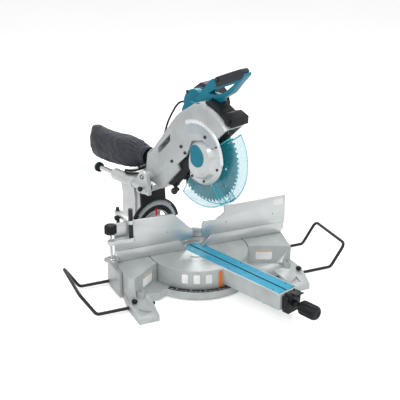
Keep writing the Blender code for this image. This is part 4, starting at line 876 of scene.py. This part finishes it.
# ---------------------------------------------------------------- bevel arm, scale, carriage and rails
def column():
    refined("bevel_arm", "pale", 0.0014, 3)
    refined("bevel_scale", "black", 0.0008, 2)
    refined("bevel_pivot", "steel", 0.0006)
    refined("bevel_lock_lever", "black", 0.0012)
    at = (0, TABLE_TOP)
    ticks = []
    for degree in range(-46, 47):
        deep = 0.0075 if degree % 5 == 0 else 0.0042
        t = radians(90 + degree)
        half = 0.0004 if degree % 5 == 0 else 0.00026
        a, b = 0.1, 0.1 + deep
        spot = [(at[0] + r * cos(t) - s * half * sin(t), at[1] + r * sin(t) + s * half * cos(t))
                for r, s in ((a, -1), (b, -1), (b, 1), (a, 1))]
        ticks.append(prism(spot, 0.2219, 0.2221, "Y"))
    put("bevel_scale_ticks", together(*ticks), "tilt", "mark")
    band = arc(at, 0.0995, 16, 164, 60) + arc(at, 0.088, 164, 16, 60)
    put("bevel_scale_band", prism(band, 0.2217, 0.2222, "Y"), "tilt", "recess")
    ring = arc(at, 0.07, 18, 162, 48) + arc(at, 0.0668, 162, 18, 48)
    put("bevel_scale_lip", prism(ring, 0.2214, 0.2222, "Y"), "tilt", "pale")
    screw_row("housing_screws", "tilt", "bolt", [(s * 0.036, 0.3475, 0.2842) for s in (-1, 1)], 0.0042,
              0.0036, "Z")
    refined("carriage", "pale", 0.0012, 3)
    for name, side in (("left", -1), ("right", 1)):
        centre = (side * RAIL_U, 0, RAIL_Z)
        put("slide_rail_%s_fine" % name, rod("Y", centre, 0.00948, 0.18, 0.452, 64, 0.0008), "slider",
            "chrome", TABLE, ["slide_rail_" + name])
        y = 0.4523
        cap = offset(y, [(HUB, 0.0082), (0.017, 0.0082), (0.0182, 0.0092), (0.0184, 0.0125),
                         (0.017, 0.0158), (0.014, 0.0176), (0.0118, 0.0178), (0.0108, 0.016), (HUB, 0.016)])
        front = offset(y, [(HUB, 0.0), (0.015, 0.0), (0.0172, 0.001), (0.0176, 0.003), (0.0176, 0.0081),
                           (HUB, 0.0081)])
        put("rail_cap_front_" + name, lathe(front, "Y", centre, 64), "slider", "black")
        put("rail_cap_%s_fine" % name, lathe(cap, "Y", centre, 64), "slider", "teal", TABLE,
            ["rail_cap_" + name])
        seal = lathe([(0.0097, 0.3662), (0.0172, 0.3662), (0.0168, 0.369), (0.012, 0.3712),
                      (0.0097, 0.3712)], "Y", centre, 56)
        put("rail_wiper_" + name, seal, "tilt", "black")
        end = lathe([(HUB, 0.176), (0.012, 0.176), (0.012, 0.1748), (0.01, 0.1742), (HUB, 0.1745)], "Y",
                    centre, 40)
        put("yoke_plug_" + name, end, "slider", "black")
    refined("pivot_shaft", "steel", 0.0005)
    clips = [lathe([(0.0052, u), (0.0076, u), (0.0076, u + s * 0.0009), (0.0052, u + s * 0.0009)], "X",
                   (0, PIVOT_Y, PIVOT_Z), 36) for u, s in ((-0.0766, -1), (0.0766, 1))]
    put("pivot_clips", together(*clips), "slider", "bolt")
    x = -0.0808
    pin = offset(x, [(HUB, 0.0), (0.004, 0.0), (0.004, -0.0032), (0.0084, -0.004), (0.0089, -0.0055),
                     (0.0089, -0.012), (0.008, -0.0131), (HUB, -0.0131)])
    put("stopper_pin_fine", lathe(pin, "X", (0, 0.192, RAIL_Z), 72, lobes=12, depth=0.0008, over=0.0078),
        "stopper", "black", TABLE, ["stopper_pin"])


# ---------------------------------------------------------------- saw head
def head():
    chamfer = lambda p, n: abs((TABLE.to_3x3().inverted() @ n).x) < 0.93 and on_table(p).x < -0.0215
    left = lambda p, n: (TABLE.to_3x3().inverted() @ n).x < -0.9 and on_table(p).x < -0.036
    refined("saw_case", "silver", 0.0011, 2, [("band", chamfer), ("pale", left)])
    refined("inner_cover", "black", 0.0009)
    refined("centre_cover", "pale", 0.0012, 3)
    refined("guard_front_cover", "black", 0.0018, 3)
    refined("gear_housing", "teal", 0.0018, 3)
    refined("motor_housing", "teal", 0.0014, 3)
    refined("motor_cap", "cap", 0.0016, 3, smooth=30)
    refined("dust_nozzle", "black", 0.0007)
    refined("handle", "teal", 0.0024, 3)
    refined("handle_grip", "grip", 0.0012, 3)
    rear, front = Vector((-0.0815, 0.671)), Vector((-0.1655, 0.7075))
    along = (front - rear).normalized()
    rise = Vector((along.y, -along.x))
    cheek = rounded([tuple(rear + along * a + rise * b) for a, b in ((-0.001, 0.0025), (0.113, 0.0025),
            (0.129, 0.0105), (0.129, 0.016), (-0.001, 0.016))], 0.002, 3)
    cheeks = [prism(cheek, low, low + 0.0008, "X", 0.0003) for low in (0.0042, 0.035)]
    put("grip_cheeks", together(*cheeks), "head", "grip")
    refined("trigger", "black", 0.001, 3)
    refined("lock_off_button", "black_gloss", 0.0007, 3)
    middle = (0, -0.04, 0.452)
    step = [(0.103, -0.0399), (0.1075, -0.0424), (0.115, -0.0424), (0.118, -0.0399)]
    put("case_inner_band", lathe(step, "X", middle, 70, 62, 182), "head", "band", smooth=30)
    plate = [(0.07, -0.04), (0.07, -0.0404), (0.1028, -0.0404), (0.1028, -0.04)]
    put("case_inner_plate", lathe(plate, "X", middle, 60, 62, 150), "head", "recess")
    seats = [(-0.0398, -0.077, 0.521), (-0.0398, 0.035, 0.462), (-0.0398, 0.016, 0.445),
             (-0.0398, 0.081, 0.4)]
    screw_row("case_bolts", "head", "bolt", seats, 0.0052, -0.0045, "X")
    around = [(-0.0308, -0.04 + 0.088 * cos(radians(t)), 0.452 + 0.088 * sin(radians(t)))
              for t in (150, 200, 255, 292)]
    screw_row("cover_bolts", "head", "bolt", around, 0.0042, -0.0035, "X")
    inset = rounded([(-0.0135, 0.48), (-0.044, 0.4905), (-0.068, 0.474), (-0.0775, 0.45), (-0.069, 0.423),
                     (-0.043, 0.411), (-0.017, 0.423)], 0.012, 5)
    put("centre_cover_inset", prism(inset, -0.0452, -0.0478, "X", 0.0008), "head", "teal")
    ball = [(HUB, -0.04), (0.005, -0.04), (0.005, -0.046), (0.0095, -0.049), (0.0118, -0.054),
            (0.011, -0.06), (0.007, -0.064), (HUB, -0.0652)]
    put("link_knob", lathe(ball, "X", (0, 0.054, 0.306), 40), "head", "black_gloss")
    stem = rounded([(0.049, 0.306), (0.055, 0.3005), (0.068, 0.306), (0.08, 0.313), (0.08, 0.32),
                    (0.052, 0.3115)], 0.003, 4)
    put("link_stem", prism(stem, -0.0345, -0.04, "X", 0.0008), "head", "black")
    roller = [(HUB, -0.036), (0.0105, -0.036), (0.0115, -0.037), (0.0115, -0.042), (0.01, -0.0432),
              (0.005, -0.0436), (HUB, -0.043)]
    put("guard_roller", lathe(roller, "X", (0, -0.172, 0.594), 40), "head", "black")
    slats = []
    for k in range(-3, 4):
        z = MOTOR_Z + k * 0.0125
        half = math.sqrt(max(0.0, 0.05 ** 2 - (z - MOTOR_Z) ** 2))
        slats.append(prism(rounded([(MOTOR_Y - half, z - 0.003), (MOTOR_Y + half, z - 0.003),
                (MOTOR_Y + half, z + 0.003), (MOTOR_Y - half, z + 0.003)], 0.0025, 3), 0.1855, 0.188, "X",
                           0.0008))
    put("motor_cap_slats", together(*slats), "head", "cap")
    collar = lathe([(0.0541, 0.099), (0.0552, 0.099), (0.0556, 0.1), (0.0556, 0.1068), (0.0541, 0.1076)],
                   "X", (0, MOTOR_Y, MOTOR_Z), 72)
    put("motor_collar", collar, "head", "cap")
    for k, (y, z) in enumerate(((MOTOR_Y + 0.032, MOTOR_Z + 0.04), (MOTOR_Y - 0.04, MOTOR_Z + 0.03))):
        put("motor_brush_cap_%d" % (k + 1), socket_head("X", (0, y, z), 0.006, 0.07, 0.0703 + 0.004),
            "head", "black")


def blade():
    step = 2 * pi / 60
    rim = []
    for i in range(60):
        for turn, radius in ((0.0, 0.1518), (0.1, 0.152), (0.22, 0.1512), (0.36, 0.1494), (0.5, 0.1462),
                             (0.62, 0.1436), (0.74, 0.143), (0.86, 0.144), (0.95, 0.147)):
            t = (i + turn) * step
            rim.append((BLADE_Y + radius * cos(t), BLADE_Z + radius * sin(t)))
    disc = prism(rim, -0.0009, 0.0009, "X")
    cuts = [rod("X", (0, BLADE_Y, BLADE_Z), 0.0125, -0.01, 0.01, 40)]
    for k in range(6):
        t = 2 * pi * k / 6 + 0.2
        cuts.append(rod("X", (0, BLADE_Y + 0.098 * cos(t), BLADE_Z + 0.098 * sin(t)), 0.0034, -0.01, 0.01,
                        20))
    for k in range(5):
        t = 2 * pi * k / 5 + 0.05
        side = Vector((-sin(t), cos(t))) * 0.0007
        near, far = 0.124, 0.156
        ends = [(near, -1), (far, -1), (far, 1), (near, 1)]
        slot = [(BLADE_Y + r * cos(t) + s * side.x, BLADE_Z + r * sin(t) + s * side.y) for r, s in ends]
        cuts.append(prism(slot, -0.01, 0.01, "X"))
        cuts.append(rod("X", (0, BLADE_Y + near * cos(t), BLADE_Z + near * sin(t)), 0.0022, -0.01, 0.01,
                        16))
    put("saw_blade_fine", combined(disc, cuts, "DIFFERENCE"), "blade", "blade", TABLE, ["saw_blade"], 30)
    tips = []
    for i in range(60):
        t = i * step
        lean = 0.0013 * ((i % 2) * 2 - 1) * 0.12
        corners = [(0.1455, 0.0002), (0.1525, 0.0004), (0.1519, 0.0024), (0.1455, 0.0016)]
        ring = []
        for u in (-0.0013 + lean, 0.0013 + lean):
            ring.append([(max(-0.0013, min(0.0013, u)), BLADE_Y + r * cos(t) - w * sin(t),
                          BLADE_Z + r * sin(t) + w * cos(t)) for r, w in corners])
        tips.append(skin(ring))
    put("blade_tips", together(*tips), "blade", "carbide")
    refined("blade_flange", "zinc", 0.0006)


def guard(name, body, radius, g, start, end):
    """One clear sector: thin U-section wall, ring round the arbor, bead on its open edges."""
    t = 0.0018
    walls = [(0.046, -g), (radius - 0.0035, -g), (radius - 0.001, -g + 0.001), (radius, 0.0035 - g),
             (radius, g - 0.0035), (radius - 0.001, g - 0.001), (radius - 0.0035, g), (0.046, g),
             (0.046, g - t), (radius - 0.0035 - t, g - t), (radius - t, g - 0.0035 - t),
             (radius - t, 0.0035 + t - g), (radius - 0.0035 - t, t - g), (0.046, t - g)]
    centre = (0, BLADE_Y, BLADE_Z)
    sector = lathe(walls, "X", centre, 40, start, end)
    rings = [lathe([(0.03, a), (0.05, a), (0.05, b), (0.03, b)], "X", centre, 64)
             for a, b in ((g - t, g), (-g, t - g))]
    mesh = combined(sector, rings, "UNION")
    put(name + "_fine", mesh, body, "clear", TABLE, [name], 30)
    beads = []
    for side in (-1, 1):
        a, b = side * g, side * (g + 0.0007)
        low, high = min(a, b), max(a, b)
        beads.append(lathe([(radius - 0.008, low), (radius - 0.0048, low), (radius - 0.0048, high),
                            (radius - 0.008, high)], "X", centre, 60, start + 1, end - 1))
        for edge in (start + 0.6, end - 2.2):
            beads.append(lathe([(0.052, low), (radius - 0.006, low), (radius - 0.006, high), (0.052, high)],
                               "X", centre, 3, edge, edge + 1.6))
    put(name + "_beads", together(*beads), body, "clear_rim", TABLE)


# ---------------------------------------------------------------- dust bag
BAG = [(0.254, 0.335, 0.393, 0.029), (0.262, 0.334, 0.394, 0.03), (0.272, 0.335, 0.393, 0.03),
       (0.285, 0.324, 0.401, 0.035), (0.305, 0.312, 0.406, 0.0385), (0.335, 0.304, 0.408, 0.041),
       (0.37, 0.2985, 0.407, 0.043), (0.41, 0.295, 0.4045, 0.044), (0.45, 0.2925, 0.403, 0.0445),
       (0.49, 0.2915, 0.4035, 0.044), (0.52, 0.292, 0.405, 0.041), (0.542, 0.293, 0.406, 0.033),
       (0.556, 0.296, 0.405, 0.02), (0.562, 0.3, 0.402, 0.008)]


def dust_bag():
    """A soft sewn bag: lofted, relaxed as cloth under light pressure, then pleated at its neck and creased
    along its body.
    """
    rings = []
    sides = 40
    for y, low, high, half in BAG:
        mid, tall = (low + high) / 2, (high - low) / 2
        ring = []
        for k in range(sides):
            t = 2 * pi * k / sides
            power = 0.8
            a = math.copysign(abs(cos(t)) ** power, cos(t)) * half
            b = math.copysign(abs(sin(t)) ** power, sin(t)) * tall
            ring.append((a, y, mid + b))
        rings.append(ring)
    mesh = skin(rings)
    mesh.transform(TABLE)
    bag = bpy.data.objects.new("dust_bag_soft", mesh)
    bpy.context.collection.objects.link(bag)
    remesh = bag.modifiers.new("remesh", "REMESH")
    remesh.mode = "VOXEL"
    remesh.voxel_size = 0.0045
    graph = bpy.context.evaluated_depsgraph_get()
    bag.data = bpy.data.meshes.new_from_object(bag.evaluated_get(graph))
    bag.modifiers.clear()
    rest = [v.co.copy() for v in bag.data.vertices]
    group = bag.vertex_groups.new(name="held")
    held = [i for i, p in enumerate(rest) if on_table(p).y < 0.28]
    group.add(held, 1.0, "REPLACE")
    cloth = bag.modifiers.new("cloth", "CLOTH")
    cloth.settings.quality = 5
    cloth.settings.mass = 0.25
    cloth.settings.use_pressure = True
    cloth.settings.uniform_pressure_force = 3.0
    cloth.settings.effector_weights.gravity = 0.0
    cloth.settings.tension_stiffness = 14.0
    cloth.settings.bending_stiffness = 0.3
    cloth.settings.shrink_min = -0.06
    cloth.settings.vertex_group_mass = "held"
    cloth.collision_settings.use_self_collision = False
    cloth.collision_settings.use_collision = False
    for number in range(1, 21):
        bpy.context.scene.frame_set(number)
    graph = bpy.context.evaluated_depsgraph_get()
    moved = [v.co.copy() for v in bag.evaluated_get(graph).data.vertices]
    bag.modifiers.clear()
    bpy.context.scene.frame_set(1)
    for vert, before, after in zip(bag.data.vertices, rest, moved):
        step = after - before
        if step.length > 0.006:
            step *= 0.006 / step.length
        vert.co = before + step
    smooth = bag.modifiers.new("smooth", "SUBSURF")
    smooth.levels = 1
    smooth.render_levels = 1
    graph = bpy.context.evaluated_depsgraph_get()
    bag.data = bpy.data.meshes.new_from_object(bag.evaluated_get(graph))
    bag.modifiers.clear()
    back = TABLE.inverted()
    bag.data.update()
    normals = [v.normal.copy() for v in bag.data.vertices]
    low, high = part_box("dust_bag")
    for vert, normal in zip(bag.data.vertices, normals):
        p = back @ vert.co
        angle = math.atan2(p.z - 0.355, p.x)
        neck = max(0.0, 1.0 - abs(p.y - 0.3) / 0.05)
        pleats = 0.5 + 0.5 * cos(angle * 22 + 1.5 * noise.noise(Vector((p.y * 40, 0, 3.0))))
        folds = noise.noise(Vector((p.x * 26, p.y * 11 + p.z * 17, p.z * 24))) * 0.0034
        creases = abs(noise.noise(Vector((p.x * 40 + 7, p.y * 26 - p.z * 30, p.z * 38)))) * 0.005
        sag = noise.noise(Vector((2.0, p.y * 16, p.z * 9))) * 0.003
        away = min(1.0, max(0.0, (p.y - 0.272) / 0.03))
        if p.y < 0.268:
            step = -0.0002
        else:
            step = away * (folds - creases + sag) - neck * (pleats * 0.0042)
        vert.co += normal * step
        for k in range(3):
            vert.co[k] = min(max(vert.co[k], low[k] + 0.0004), high[k] - 0.0004)
    bag.data.materials.clear()
    bag.data.materials.append(LOOKS["fabric"][0])
    bag.data.shade_smooth()
    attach(bag, "head")
    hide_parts("dust_bag")
    band = [(0.0285, 0.247), (0.0305, 0.2472), (0.0318, 0.249), (0.0318, 0.266), (0.0305, 0.268),
            (0.0285, 0.2682)]
    put("bag_neck_band", lathe(band, "Y", (0, 0, 0.364), 110, lobes=36, depth=0.001, over=0.03), "head",
        "fabric")
    clip = lathe([(0.0318, 0.253), (0.0328, 0.253), (0.0328, 0.258), (0.0318, 0.258)], "Y", (0, 0, 0.364),
                 80)
    put("bag_neck_wire", clip, "head", "black_steel")


# ---------------------------------------------------------------- stage and light
def studio():
    size = 40.0
    bm = bmesh.new()
    bmesh.ops.create_grid(bm, x_segments=2, y_segments=2, size=size)
    floor_mesh = bpy.data.meshes.new("floor")
    bm.to_mesh(floor_mesh)
    bm.free()
    floor = bpy.data.objects.new("floor", floor_mesh)
    floor.location = (0, 0, -0.0005)
    bpy.context.collection.objects.link(floor)
    look = Look("pale_floor", 0.9)
    look.colour(look.ramp(look.noise(1.2, 2.0), [(0.3, (0.93, 0.93, 0.93)), (0.7, (0.95, 0.95, 0.95))]))
    look.set(Emission_Color=(1.0, 1.0, 1.0, 1.0))
    rays, glow = look.add("ShaderNodeLightPath"), look.add("ShaderNodeMath")
    glow.operation = "MULTIPLY"
    glow.inputs[1].default_value = 0.34
    look.link(rays.outputs["Is Camera Ray"], glow.inputs[0])
    look.link(glow.outputs[0], look.shader.inputs["Emission Strength"])
    floor.data.materials.append(look.mat)
    world = bpy.data.worlds.new("studio")
    world.use_nodes = True
    tree = world.node_tree
    sky = tree.nodes["Background"]
    sky.inputs["Color"].default_value = (1.0, 1.0, 1.0, 1.0)
    sky.inputs["Strength"].default_value = 0.62
    backdrop = tree.nodes.new("ShaderNodeBackground")
    backdrop.inputs["Color"].default_value = (1.0, 1.0, 1.0, 1.0)
    backdrop.inputs["Strength"].default_value = 0.96
    rays, pick = tree.nodes.new("ShaderNodeLightPath"), tree.nodes.new("ShaderNodeMixShader")
    tree.links.new(rays.outputs["Is Camera Ray"], pick.inputs[0])
    tree.links.new(sky.outputs[0], pick.inputs[1])
    tree.links.new(backdrop.outputs[0], pick.inputs[2])
    tree.links.new(pick.outputs[0], tree.nodes["World Output"].inputs["Surface"])
    bpy.context.scene.world = world
    for name, place, power, width in (("key", (-1.6, -2.2, 2.6), 40, 1.2),
            ("fill", (2.4, -1.4, 1.6), 12, 1.4), ("top", (0.4, 0.5, 3.0), 34, 1.6),
            ("rim", (1.0, 2.4, 1.8), 14, 1.0)):
        lamp = bpy.data.objects.new(name, bpy.data.lights.new(name, "AREA"))
        lamp.data.energy = power
        lamp.data.size = width
        lamp.location = place
        lamp.rotation_euler = (Vector((0, 0, 0.25)) - Vector(place)).to_track_quat("-Z", "Y").to_euler()
        bpy.context.collection.objects.link(lamp)


base()
fences()
holders()
vise()
table()
column()
head()
blade()
guard("lower_guard_front", "guard_front", 0.1745, 0.0225, 143, 236)
guard("lower_guard_rear", "guard_rear", 0.1719, 0.0199, 224, 302)
dust_bag()
studio()
